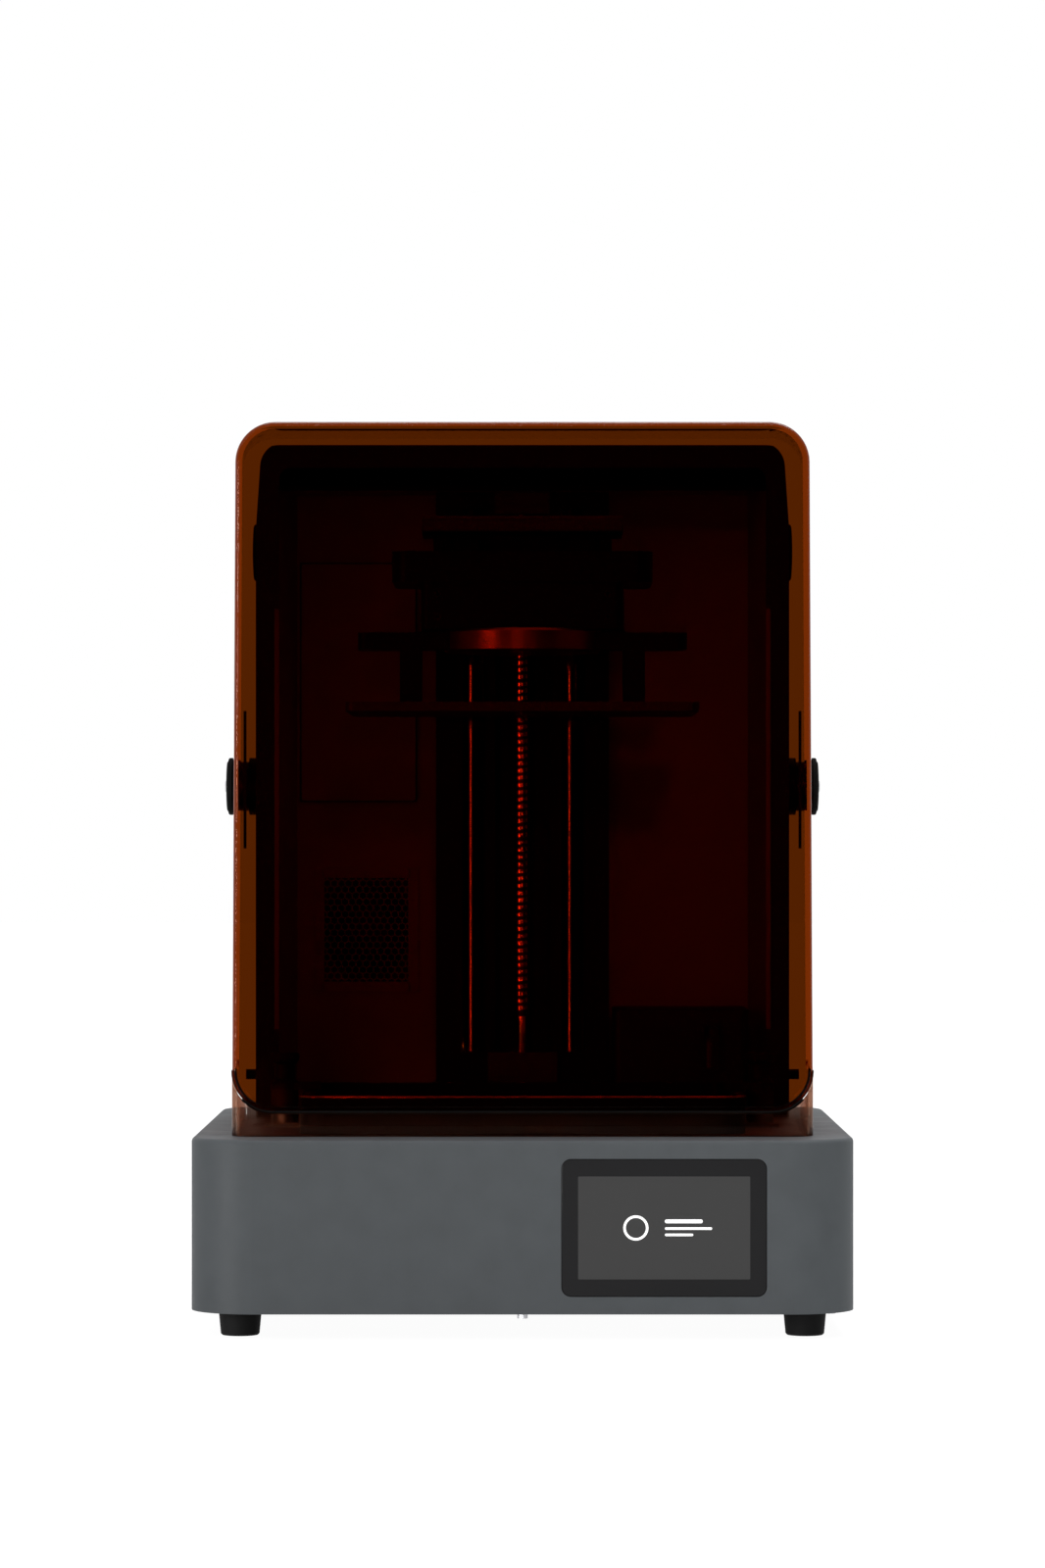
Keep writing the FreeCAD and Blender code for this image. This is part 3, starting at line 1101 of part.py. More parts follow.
pin_seat = rod("x", "rocker_pin + run_gap", f"switch_x - {switch_half} - pin_reach",
               f"switch_x + {switch_half} + pin_reach", rocker_y, "rear_z")
done("switch_frame", cut(join(switch_body, switch_brim), switch_room, pin_seat))
rocker_half = f"{switch_rise} - rocker_inset"
rocker_body = prism("YZ", [("-rocker_deep", "0"), ("-rocker_back", f"-({rocker_half}) + rocker_inset"),
                           ("rocker_crest", f"-({rocker_half})"), ("rocker_dip", "0"), ("rocker_crest",
                                                                                        rocker_half),
                           ("-rocker_back", f"{rocker_half} - rocker_inset")], f"-{switch_half} + run_gap",
                    f"{switch_half} - run_gap")
trunnion = rod("x", "rocker_pin", f"-{switch_half} - pin_reach + run_gap",
               f"{switch_half} + pin_reach - run_gap", 0, 0)
rocker = join(rocker_body, trunnion)
rocker.Placement = FreeCAD.Placement(Vector(), FreeCAD.Rotation(Vector(1, 0, 0), number("rocker_tilt")))
done("switch_rocker", put(rocker, "switch_x", rocker_y, "rear_z"))

# check every object, then write one file per piece
doc.recompute()
for thing in doc.Objects:
    if "Invalid" in thing.State or "Error" in thing.State:
        print("fault in", thing.Label, thing.State)
for piece in finished:
    shape = piece.Shape
    if shape.isNull() or not shape.isValid() or not shape.Solids:
        print("bad shape", piece.Label)
    room = shape.BoundBox
    print(piece.Label, len(shape.Solids), round(shape.Volume), [round(v, 1) for v in (
        room.XMin, room.XMax, room.YMin, room.YMax, room.ZMin, room.ZMax)])
    shape.exportStep(f"parts/{piece.Label}.step")
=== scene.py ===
import bmesh
import bpy
import math
from mathutils import Matrix, Vector


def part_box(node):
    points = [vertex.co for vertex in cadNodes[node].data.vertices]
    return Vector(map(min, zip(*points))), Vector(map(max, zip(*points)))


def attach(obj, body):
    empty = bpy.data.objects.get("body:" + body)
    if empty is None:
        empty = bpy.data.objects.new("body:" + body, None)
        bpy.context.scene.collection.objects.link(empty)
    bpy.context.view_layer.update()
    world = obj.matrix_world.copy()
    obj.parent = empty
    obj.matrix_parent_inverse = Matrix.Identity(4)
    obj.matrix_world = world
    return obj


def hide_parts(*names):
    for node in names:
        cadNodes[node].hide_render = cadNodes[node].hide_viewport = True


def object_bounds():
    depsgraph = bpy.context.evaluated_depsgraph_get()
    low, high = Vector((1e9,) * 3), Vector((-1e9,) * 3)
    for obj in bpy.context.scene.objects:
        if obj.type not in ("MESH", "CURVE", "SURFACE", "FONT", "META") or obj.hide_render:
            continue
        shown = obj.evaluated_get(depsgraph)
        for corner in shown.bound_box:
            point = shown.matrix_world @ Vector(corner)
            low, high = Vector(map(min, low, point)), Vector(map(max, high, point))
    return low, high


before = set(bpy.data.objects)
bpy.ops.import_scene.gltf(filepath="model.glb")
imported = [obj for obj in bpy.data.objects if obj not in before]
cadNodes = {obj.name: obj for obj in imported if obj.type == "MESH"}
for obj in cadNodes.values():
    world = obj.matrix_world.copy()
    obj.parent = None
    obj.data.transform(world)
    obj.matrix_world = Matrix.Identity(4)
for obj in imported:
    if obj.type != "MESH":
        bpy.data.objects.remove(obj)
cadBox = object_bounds()
scene = bpy.context.scene
scene.view_settings.view_transform = "Standard"
print("frame loaded,", len(cadNodes), "nodes")


# materials: every finish starts from one shader and a pattern on Object coordinates
def startMaterial(name, colour, rough, metal=0.0):
    finish = bpy.data.materials.new(name)
    finish.use_nodes = True
    shader = finish.node_tree.nodes["Principled BSDF"]
    shader.inputs["Base Color"].default_value = (*colour, 1)
    shader.inputs["Roughness"].default_value = rough
    shader.inputs["Metallic"].default_value = metal
    return finish, finish.node_tree.nodes, finish.node_tree.links, shader


def patternCoords(nodes, links, stretch=(1, 1, 1)):
    coords = nodes.new("ShaderNodeTexCoord")
    mapping = nodes.new("ShaderNodeMapping")
    mapping.inputs["Scale"].default_value = stretch
    links.new(coords.outputs["Object"], mapping.inputs["Vector"])
    return mapping.outputs["Vector"]


def noiseOn(nodes, links, vector, scale, detail):
    noise = nodes.new("ShaderNodeTexNoise")
    noise.inputs["Scale"].default_value = scale
    noise.inputs["Detail"].default_value = detail
    links.new(vector, noise.inputs["Vector"])
    return noise.outputs["Fac"]


noiseSpan = (0.3, 0.7)  # where most values of a noise pattern lie


def spread(nodes, links, value, low, high):
    ranged = nodes.new("ShaderNodeMapRange")
    ranged.inputs["From Min"].default_value = noiseSpan[0]
    ranged.inputs["From Max"].default_value = noiseSpan[1]
    ranged.inputs["To Min"].default_value = low
    ranged.inputs["To Max"].default_value = high
    links.new(value, ranged.inputs["Value"])
    return ranged.outputs["Result"]


def toneOn(nodes, links, value, dark, light):
    mix = nodes.new("ShaderNodeMix")
    mix.data_type = "RGBA"
    mix.inputs["A"].default_value = (*dark, 1)
    mix.inputs["B"].default_value = (*light, 1)
    links.new(value, mix.inputs["Factor"])
    return mix.outputs["Result"]


def bumpOn(nodes, links, shader, value, strength, depth):
    bump = nodes.new("ShaderNodeBump")
    bump.inputs["Strength"].default_value = strength
    bump.inputs["Distance"].default_value = depth
    links.new(value, bump.inputs["Height"])
    links.new(bump.outputs["Normal"], shader.inputs["Normal"])


# what a coated finish has unless its own line says otherwise
coatPlain = {"metal": 0.0, "gloss": 0.5, "stretch": (1, 1, 1), "shade": 0.06, "swing": 0.06, "bump": 0.15,
             "depth": 0.00012, "grainDetail": 3.0, "cloudDetail": 5.0, "cloudSize": 30}


def coatedFinish(name, changes):
    look = {**coatPlain, **changes}
    colour = look["colour"]
    rough = look["rough"]
    finish, nodes, links, shader = startMaterial(name, colour, rough, look["metal"])
    vector = patternCoords(nodes, links, look["stretch"])
    grain = noiseOn(nodes, links, vector, look["grain"], look["grainDetail"])
    cloud = noiseOn(nodes, links, vector, look["grain"] / look["cloudSize"], look["cloudDetail"])
    dark = [c * (1 - look["shade"]) for c in colour]
    light = [c * (1 + look["shade"]) for c in colour]
    tone = toneOn(nodes, links, spread(nodes, links, cloud, 0, 1), dark, light)
    links.new(tone, shader.inputs["Base Color"])
    dull = spread(nodes, links, cloud, rough - look["swing"], rough + look["swing"])
    links.new(dull, shader.inputs["Roughness"])
    bumpOn(nodes, links, shader, grain, look["bump"], look["depth"])
    shader.inputs["Specular IOR Level"].default_value = look["gloss"]
    return finish


finishes = {
    "basePaint": {"colour": (0.088, 0.097, 0.104), "rough": 0.55, "gloss": 0.1, "grain": 1500,
                  "bump": 0.12},
    "blackHousing": {"colour": (0.010, 0.010, 0.011), "rough": 0.48, "gloss": 0.25, "grain": 1200,
                     "bump": 0.2},
    "blackPowder": {"colour": (0.016, 0.016, 0.017), "rough": 0.55, "grain": 1600, "bump": 0.25},
    "linerPaint": {"colour": (0.34, 0.34, 0.35), "rough": 0.5, "grain": 1400, "bump": 0.12},
    "moulded": {"colour": (0.014, 0.014, 0.015), "rough": 0.5, "gloss": 0.2, "grain": 900, "bump": 0.2},
    "rubber": {"colour": (0.006, 0.006, 0.006), "rough": 0.78, "gloss": 0.12, "grain": 700,
               "bump": 0.3},
    "sealBlack": {"colour": (0.003, 0.003, 0.003), "rough": 0.8, "gloss": 0.05, "grain": 700,
                  "bump": 0.2},
    "anodised": {"colour": (0.003, 0.003, 0.0032), "rough": 0.42, "gloss": 0.1, "grain": 2200,
                 "bump": 0.1},
    "vatBlack": {"colour": (0.003, 0.003, 0.0032), "rough": 0.5, "gloss": 0.12, "grain": 2200,
                 "bump": 0.1},
    "machined": {"colour": (0.56, 0.56, 0.58), "rough": 0.34, "metal": 1.0, "grain": 260,
                 "stretch": (1, 9, 9), "bump": 0.06, "depth": 0.00003, "swing": 0.03, "shade": 0.03},
    "blasted": {"colour": (0.06, 0.06, 0.062), "rough": 0.5, "metal": 1.0, "grain": 1800, "bump": 0.25,
                "swing": 0.04},
    "satinGrey": {"colour": (0.04, 0.04, 0.042), "rough": 0.38, "metal": 1.0, "grain": 1500,
                  "bump": 0.08},
    "polished": {"colour": (0.34, 0.34, 0.345), "rough": 0.34, "metal": 1.0, "grain": 200,
                 "stretch": (1, 1, 12), "bump": 0.04, "depth": 0.00002, "swing": 0.03, "shade": 0.02},
    "groundSteel": {"colour": (0.52, 0.52, 0.54), "rough": 0.24, "metal": 1.0, "grain": 300,
                    "stretch": (9, 9, 1), "bump": 0.04, "depth": 0.00003, "swing": 0.03, "shade": 0.03},
    "darkRail": {"colour": (0.16, 0.16, 0.164), "rough": 0.06, "metal": 1.0, "grain": 300,
                 "stretch": (1, 1, 9), "bump": 0.0, "depth": 0.00001, "swing": 0.01, "shade": 0.04},
    "carbonFoam": {"colour": (0.010, 0.010, 0.010), "rough": 0.9, "grain": 420, "bump": 1.0,
                   "depth": 0.0012},
    "platedSteel": {"colour": (0.50, 0.50, 0.52), "rough": 0.33, "metal": 1.0, "grain": 500, "bump": 0.1},
    "galvanised": {"colour": (0.46, 0.47, 0.48), "rough": 0.42, "metal": 1.0, "grain": 180,
                   "shade": 0.18},
    # pale colour: on trim_strips a painted highlight line, on the knob pointers their own pale mark
    "paleMarkAndHighlight": {"colour": (0.34, 0.34, 0.33), "rough": 0.4, "grain": 900, "bump": 0.1},
}
made = {name: coatedFinish(name, look) for name, look in finishes.items()}


# shadow rays pass the tint, so that the lamps light the chamber, and so do reflections unless it is plain
def letLightIn(nodes, links, shader, colour, plain):
    path = nodes.new("ShaderNodeLightPath")
    most = nodes.new("ShaderNodeMath")
    most.operation = "MAXIMUM"
    links.new(path.outputs["Is Shadow Ray"], most.inputs[0])
    if not plain:
        links.new(path.outputs["Is Reflection Ray"], most.inputs[1])
    clear = nodes.new("ShaderNodeBsdfTransparent")
    clear.inputs["Color"].default_value = (*colour, 1)
    mix = nodes.new("ShaderNodeMixShader")
    links.new(most.outputs[0], mix.inputs["Fac"])
    links.new(shader.outputs[0], mix.inputs[1])
    links.new(clear.outputs[0], mix.inputs[2])
    links.new(mix.outputs[0], nodes["Material Output"].inputs["Surface"])


# what a tint has unless its own line says otherwise
tintPlain = {"bends": 1.49, "shine": (1, 1, 1), "swing": 0.02, "hazeDetail": 6.0, "letsIn": None,
             "plain": False}


def tintedFinish(name, changes):
    look = {**tintPlain, **changes}
    rough = look["rough"]
    finish, nodes, links, shader = startMaterial(name, look["colour"], rough)
    shader.inputs["Transmission Weight"].default_value = 1.0
    shader.inputs["IOR"].default_value = look["bends"]
    shader.inputs["Specular Tint"].default_value = (*look["shine"], 1)
    vector = patternCoords(nodes, links)
    haze = noiseOn(nodes, links, vector, look["haze"], look["hazeDetail"])
    links.new(spread(nodes, links, haze, rough, rough + look["swing"]), shader.inputs["Roughness"])
    if look["letsIn"]:
        letLightIn(nodes, links, shader, look["letsIn"], look["plain"])
    return finish


tints = {
    "hoodTint": {"colour": (0.085, 0.0145, 0.0004), "rough": 0.0, "haze": 40, "letsIn": (0.6, 0.2, 0.07),
                 "shine": (0.05, 0.05, 0.05)},
    "sillTint": {"colour": (0.80, 0.57, 0.47), "rough": 0.0, "haze": 60, "letsIn": (0.5, 0.29, 0.2),
                 "plain": True, "bends": 1.12},
    "clearGlass": {"colour": (0.78, 0.80, 0.80), "rough": 0.0, "haze": 30},
    "filmSheet": {"colour": (0.86, 0.87, 0.86), "rough": 0.06, "haze": 90},
}
for name, look in tints.items():
    made[name] = tintedFinish(name, look)


# circuit boards: a brick pattern whose joints stand for the tracks
boardLook = {"colour": (0.01, 0.09, 0.035), "rough": 0.35, "tiles": 90, "darkTile": (0.010, 0.085, 0.032),
             "paleTile": (0.014, 0.105, 0.042), "track": (0.05, 0.19, 0.08), "trackWidth": 0.05,
             "bump": 0.2, "depth": 0.0001}


def boardFinish(name, look):
    finish, nodes, links, shader = startMaterial(name, look["colour"], look["rough"])
    vector = patternCoords(nodes, links)
    tracks = nodes.new("ShaderNodeTexBrick")
    tracks.inputs["Scale"].default_value = look["tiles"]
    tracks.inputs["Color1"].default_value = (*look["darkTile"], 1)
    tracks.inputs["Color2"].default_value = (*look["paleTile"], 1)
    tracks.inputs["Mortar"].default_value = (*look["track"], 1)
    tracks.inputs["Mortar Size"].default_value = look["trackWidth"]
    links.new(vector, tracks.inputs["Vector"])
    links.new(tracks.outputs["Color"], shader.inputs["Base Color"])
    bumpOn(nodes, links, shader, tracks.outputs["Fac"], look["bump"], look["depth"])
    return finish


made["circuitBoard"] = boardFinish("circuitBoard", boardLook)

# which solids wear which finish
wears = {
    "basePaint": "base_housing",
    "blackHousing": "rear_housing feed_unit",
    "blackPowder": "bottom_plate fan_grille rear_panel engine_housing motor_mount clamp_posts "
                   "hinge_plates mask_frame",
    "linerPaint": "chamber_liner filter_cover",
    "moulded": "display_panel engine_fan engine_rotor chamber_fan chamber_rotor clamp_knob_left "
               "clamp_knob_right power_inlet switch_frame switch_rocker screen_glass",
    "rubber": "rubber_feet side_bumpers",
    "anodised": "z_column carriage_plate platform_arm head_block platform_bridge z_motor "
                "hinge_flanges hinge_caps stop_pegs",
    "machined": "heatsink shaft_coupling",
    "vatBlack": "vat_frame film_ring",
    "blasted": "build_plate",
    "satinGrey": "lock_lever screw_bearings feed_spout hinge_bushes",
    "polished": "platform_joint",
    "carbonFoam": "air_filter",
    "groundSteel": "ball_screw rail_blocks",
    "darkRail": "guide_rails",
    "platedSteel": "bottom_screws screw_nut",
    "galvanised": "power_supply",
    # trim_strips are pale as a painted highlight line
    "paleMarkAndHighlight": "trim_strips",
    "hoodTint": "hood_shell",
    "sillTint": "sill",
    "clearGlass": "mask_screen lens_plate",
    "filmSheet": "vat_film",
    "circuitBoard": "main_board led_board",
}
for finishName, nodeNames in wears.items():
    for nodeName in nodeNames.split():
        slots = cadNodes[nodeName].data.materials
        slots.clear()
        slots.append(made[finishName])
print("finishes on the solids")


# stage in metres: white floor and world, dark cards, soft lamps, camera square to the front
stageLook = {"floorSize": 30, "floorColour": (0.85, 0.85, 0.85), "floorGlow": 0.8, "glowPower": 1.2,
             "worldLight": 0.46, "cardColour": (0.002, 0.002, 0.002)}
cardLook = {
    "frontCard": {"half": (3.2, 1.5), "place": (0, -2.55, 0.5), "turn": (90, 0), "shades": False},
    "shadeCard": {"half": (0.8, 0.5), "place": (0.9, 0.7, 0.52), "turn": (90, 90), "shades": True},
}
lampLook = {
    "keyLamp": {"place": (-2.2, -2.4, 1.9), "target": (0, 0, 0.3), "size": (1.6, 1.6), "power": 24,
                "lights": True},
    "topLamp": {"place": (0.3, 0.2, 2.6), "target": (0, 0, 0.3), "size": (2.0, 2.0), "power": 66,
                "lights": True},
    "stripLamp": {"place": (-0.37, -2.4, 0.35), "target": (0, 0.1, 0.35), "size": (0.06, 0.64),
                  "power": 22, "lights": False},
    "sideStrip": {"place": (-1.7, -1.6, 0.35), "target": (0, 0.1, 0.35), "size": (0.45, 0.64),
                  "power": 57, "lights": False},
    "rimLamp": {"place": (0, -1.3, 1.35), "target": (0, -0.14, 0.15), "size": (0.7, 0.06), "power": 2.4,
                "lights": False},
}
spotLook = {
    "chamberSpot": {"place": (0.35, -2.9, 1.25), "target": (0.085, 0.135, 0.32), "power": 540,
                    "cone": 5.6, "soft": 0.2},
    "baseSpot": {"place": (1.0, -3.0, 0.2), "target": (0.16, -0.2, 0.06), "power": 80, "cone": 5.5,
                 "soft": 0.2},
}


# one for the rays that show the floor or the world itself, nothing for the rays that only gather light
def seenDirectly(nodes, links):
    path = nodes.new("ShaderNodeLightPath")
    total = None
    for output in ("Is Camera Ray", "Is Glossy Ray", "Is Transmission Ray"):
        if total is None:
            total = path.outputs[output]
            continue
        most = nodes.new("ShaderNodeMath")
        most.operation = "MAXIMUM"
        links.new(total, most.inputs[0])
        links.new(path.outputs[output], most.inputs[1])
        total = most.outputs[0]
    return total


def makeFloor():
    mesh = bpy.data.meshes.new("floor")
    shape = bmesh.new()
    bmesh.ops.create_grid(shape, x_segments=1, y_segments=1, size=stageLook["floorSize"] / 2)
    shape.to_mesh(mesh)
    shape.free()
    floor = bpy.data.objects.new("floor", mesh)
    scene.collection.objects.link(floor)
    finish = bpy.data.materials.new("floorWhite")
    finish.use_nodes = True
    nodes = finish.node_tree.nodes
    links = finish.node_tree.links
    nodes.clear()
    plain = nodes.new("ShaderNodeBsdfDiffuse")
    plain.inputs["Color"].default_value = (*stageLook["floorColour"], 1)
    glow = nodes.new("ShaderNodeEmission")
    glow.inputs["Strength"].default_value = stageLook["glowPower"]
    share = nodes.new("ShaderNodeMath")
    share.operation = "MULTIPLY"
    share.inputs[1].default_value = stageLook["floorGlow"]
    links.new(seenDirectly(nodes, links), share.inputs[0])
    mix = nodes.new("ShaderNodeMixShader")
    links.new(share.outputs[0], mix.inputs["Fac"])
    links.new(plain.outputs[0], mix.inputs[1])
    links.new(glow.outputs[0], mix.inputs[2])
    out = nodes.new("ShaderNodeOutputMaterial")
    links.new(mix.outputs[0], out.inputs["Surface"])
    mesh.materials.append(finish)


def makeWorld():
    world = bpy.data.worlds.new("studio")
    scene.world = world
    world.use_nodes = True
    nodes = world.node_tree.nodes
    links = world.node_tree.links
    glow = nodes["Background"]
    glow.inputs["Color"].default_value = (1, 1, 1, 1)
    level = nodes.new("ShaderNodeMapRange")
    level.inputs["To Min"].default_value = stageLook["worldLight"]
    level.inputs["To Max"].default_value = 1.0
    links.new(seenDirectly(nodes, links), level.inputs["Value"])
    links.new(level.outputs["Result"], glow.inputs["Strength"])


# dark cards: the front one is only mirrored, so that no white veil lies on the hood, and the shade
# card only holds light off the side behind it
def addCard(name, look, finish):
    mesh = bpy.data.meshes.new(name)
    shape = bmesh.new()
    bmesh.ops.create_grid(shape, x_segments=1, y_segments=1, size=1.0)
    bmesh.ops.scale(shape, verts=shape.verts, vec=(*look["half"], 1))
    for angle, axis in zip(look["turn"], "XZ"):
        bmesh.ops.rotate(shape, verts=shape.verts, matrix=Matrix.Rotation(math.radians(angle), 3, axis))
    bmesh.ops.translate(shape, verts=shape.verts, vec=look["place"])
    shape.to_mesh(mesh)
    shape.free()
    card = bpy.data.objects.new(name, mesh)
    scene.collection.objects.link(card)
    mesh.materials.append(finish)
    card.visible_camera = False
    card.visible_diffuse = look["shades"]
    card.visible_shadow = look["shades"]
    card.visible_glossy = not look["shades"]


def makeCards():
    finish, *_, shader = startMaterial("cardBlack", stageLook["cardColour"], 1.0)
    shader.inputs["Specular IOR Level"].default_value = 0.0
    for name, look in cardLook.items():
        addCard(name, look, finish)


def hangLamp(name, lamp, look):
    holder = bpy.data.objects.new(name, lamp)
    holder.location = look["place"]
    aim = Vector(look["target"]) - Vector(look["place"])
    holder.rotation_euler = aim.to_track_quat("-Z", "Y").to_euler()
    holder.visible_camera = False
    scene.collection.objects.link(holder)
    return holder


# area lamps: those that don't light are only seen as reflections
def addLamp(name, look):
    lamp = bpy.data.lights.new(name, "AREA")
    lamp.shape = "RECTANGLE"
    lamp.size, lamp.size_y = look["size"]
    lamp.energy = look["power"]
    hangLamp(name, lamp, look).visible_diffuse = look["lights"]


# narrow lamps on the chamber and on the base
def addSpot(name, look):
    lamp = bpy.data.lights.new(name, "SPOT")
    lamp.energy = look["power"]
    lamp.spot_size = math.radians(look["cone"])
    lamp.spot_blend = 1.0
    lamp.shadow_soft_size = look["soft"]
    hangLamp(name, lamp, look)


makeFloor()
makeWorld()
makeCards()
for name, look in lampLook.items():
    addLamp(name, look)
for name, look in spotLook.items():
    addSpot(name, look)

cameraLook = {"distance": 3.28, "horizon": 0.3234, "lens": 118.36, "sensor": 36, "shift": 0.03125}
lensData = bpy.data.cameras.new("camera")
lensData.lens = cameraLook["lens"]
lensData.sensor_width = cameraLook["sensor"]
lensData.shift_y = cameraLook["shift"]
camera = bpy.data.objects.new("camera", lensData)
camera.location = (0, cadBox[0][1] - cameraLook["distance"], cameraLook["horizon"])
camera.rotation_euler = (math.pi / 2, 0, 0)
scene.collection.objects.link(camera)
scene.camera = camera
print("stage, lamps and camera")


# helpers for the added pieces: they are drawn in millimetres and scaled as they are finished
perMetre = 1000


def spanOf(nodeName):
    low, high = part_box(nodeName)
    return low * perMetre, high * perMetre


def addPiece(name, shape, finishNames, body, sharp, stands=()):
    bmesh.ops.recalc_face_normals(shape, faces=shape.faces)
    bmesh.ops.scale(shape, verts=shape.verts, vec=[1 / perMetre] * 3)
    mesh = bpy.data.meshes.new(name)
    shape.to_mesh(mesh)
    shape.free()
    for finishName in finishNames:
        mesh.materials.append(made[finishName])
    smooth = [face.use_smooth for face in mesh.polygons]
    mesh.set_sharp_from_angle(angle=math.radians(sharp))
    mesh.polygons.foreach_set("use_smooth", smooth)
    piece = bpy.data.objects.new(name, mesh)
    scene.collection.objects.link(piece)
    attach(piece, body)
    if stands:
        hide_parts(*stands)


def smoothFaces(part):
    for face in part.faces:
        face.smooth = True


def aimed(direction):
    return Vector((0, 0, 1)).rotation_difference(Vector(direction)).to_matrix()


def placeVerts(shape, verts, place, direction=(0, 0, 1)):
    bmesh.ops.rotate(shape, verts=verts, cent=(0, 0, 0), matrix=aimed(direction))
    bmesh.ops.translate(shape, verts=verts, vec=place)


def addLathe(shape, profile, steps, place=(0, 0, 0), direction=(0, 0, 1)):
    part = bmesh.new()
    points = [part.verts.new((radius, 0, height)) for radius, height in profile]
    edges = [part.edges.new(pair) for pair in zip(points, points[1:])]
    bmesh.ops.spin(part, geom=points + edges, cent=(0, 0, 0), axis=(0, 0, 1), angle=2 * math.pi,
                   steps=steps, use_merge=True)
    bmesh.ops.remove_doubles(part, verts=part.verts, dist=0.0005)
    smoothFaces(part)
    placeVerts(part, part.verts, place, direction)
    mergeInto(shape, part)


slabLook = {"cornerSteps": 6, "edgeSteps": 3, "near": 0.01, "flat": 0.999}


# a plate with rounded corners and softened rims, thin along y or z
def addSlab(shape, low, high, corner, edge, axis="y"):
    look = slabLook
    part = bmesh.new()
    size = [h - l for l, h in zip(low, high)]
    across, up, deep = (0, 2, 1) if axis == "y" else (0, 1, 2)
    half = size[deep] / 2
    bmesh.ops.create_grid(part, x_segments=1, y_segments=1, size=0.5)
    bmesh.ops.scale(part, verts=part.verts, vec=(size[across], size[up], 1))
    if corner:
        bmesh.ops.bevel(part, geom=part.verts[:], offset=corner, offset_type="OFFSET",
                        segments=look["cornerSteps"], profile=0.5, affect="VERTICES", material=-1)
    bmesh.ops.translate(part, verts=part.verts, vec=(0, 0, -half))
    bmesh.ops.solidify(part, geom=part.faces[:], thickness=-size[deep])
    bmesh.ops.recalc_face_normals(part, faces=part.faces)
    if edge:
        flat = [e for e in part.edges if abs(e.verts[0].co.z - e.verts[1].co.z) < half]
        rims = [e for e in flat if all(abs(abs(v.co.z) - half) < look["near"] for v in e.verts)]
        bmesh.ops.bevel(part, geom=rims, offset=edge, offset_type="OFFSET", segments=look["edgeSteps"],
                        profile=0.5, affect="EDGES", material=-1)
    for face in part.faces:
        face.normal_update()
        face.smooth = abs(face.normal.z) < look["flat"]
    if axis == "y":
        bmesh.ops.rotate(part, verts=part.verts, matrix=Matrix.Rotation(math.pi / 2, 3, "X"))
    bmesh.ops.translate(part, verts=part.verts, vec=[(l + h) / 2 for l, h in zip(low, high)])
    mergeInto(shape, part)


def vertsOf(geom):
    return [g for g in geom if isinstance(g, bmesh.types.BMVert)]


def edgesOf(geom):
    return [g for g in geom if isinstance(g, bmesh.types.BMEdge)]


def mergeInto(shape, part):
    holder = bpy.data.meshes.new("holder")
    part.to_mesh(holder)
    part.free()
    shape.from_mesh(holder)
    bpy.data.meshes.remove(holder)


# head of a socket screw; its chamfer, rim and socket are shares of the radius, the depth of the height
headLook = {"chamfer": 0.14, "rim": 0.74, "socket": 0.58, "deep": 0.55, "sides": 20, "near": 1e-3}


def socketHead(radius, height):
    look = headLook
    part = bmesh.new()
    chamfer = radius * look["chamfer"]
    rim = radius * look["rim"]
    profile = [(radius, 0), (radius, height - chamfer), (radius - chamfer, height), (rim, height)]
    addLathe(part, profile, look["sides"])
    outer = [e for e in part.edges if all(v.co.xy.length < rim + look["near"] for v in e.verts)]
    socket = bmesh.ops.create_circle(part, segments=6, radius=radius * look["socket"], cap_ends=False)
    ring = socket["verts"]
    bmesh.ops.translate(part, verts=ring, vec=(0, 0, height))
    inner = [e for e in part.edges if all(v in ring for v in e.verts)]
    bmesh.ops.bridge_loops(part, edges=outer + inner)
    pushed = bmesh.ops.extrude_edge_only(part, edges=inner)["geom"]
    bmesh.ops.translate(part, verts=vertsOf(pushed), vec=(0, 0, -height * look["deep"]))
    bmesh.ops.contextual_create(part, geom=edgesOf(pushed))
    bmesh.ops.recalc_face_normals(part, faces=part.faces)
    holder = bpy.data.meshes.new("socketHead")
    part.to_mesh(holder)
    part.free()
    return holder


def addHeads(shape, radius, height, places, direction):
    template = socketHead(radius, height)
    for place in places:
        part = bmesh.new()
        part.from_mesh(template)
        placeVerts(part, part.verts, place, direction)
        mergeInto(shape, part)
    bpy.data.meshes.remove(template)


# touch screen: dark glass, a lit area set into it, and plain marks
screenLook = {"setBack": 0.14, "corner": 6, "edge": 0.45, "litInset": (10.4, 10.9), "litProud": 0.05,
              "litDeep": 0.2, "litCorner": 0.6, "ring": (6.4, 8.0), "ringHigh": 0.04, "ringSides": 64,
              "ringPlace": (-18, 0), "barSpan": (0.09, 0.04), "barRound": 0.45,
              "bars": [(0.5, 4.2, 24, 2.4), (0.5, -0.4, 30, 1.6), (0.5, -4.4, 18, 1.6)]}
glowLook = {"gloss": 0.08, "smear": 60, "smearDetail": 5.0, "swing": 0.06}


def glowFinish(name, colour, strength, rough):
    look = glowLook
    finish, nodes, links, shader = startMaterial(name, colour, rough)
    shader.inputs["Emission Color"].default_value = (*colour, 1)
    shader.inputs["Emission Strength"].default_value = strength
    shader.inputs["Specular IOR Level"].default_value = look["gloss"]
    vector = patternCoords(nodes, links)
    smear = noiseOn(nodes, links, vector, look["smear"], look["smearDetail"])
    links.new(spread(nodes, links, smear, rough, rough + look["swing"]), shader.inputs["Roughness"])
    return finish


made["bezelGlass"] = coatedFinish("bezelGlass", {
    "colour": (0.019, 0.019, 0.020), "rough": 0.16, "gloss": 0.06, "grain": 120, "bump": 0.02,
    "depth": 0.00002, "swing": 0.04})
made["litGlass"] = glowFinish("litGlass", (0.042, 0.042, 0.042), 0.45, 0.14)
made["markGlow"] = glowFinish("markGlow", (0.8, 0.8, 0.8), 0.9, 0.3)


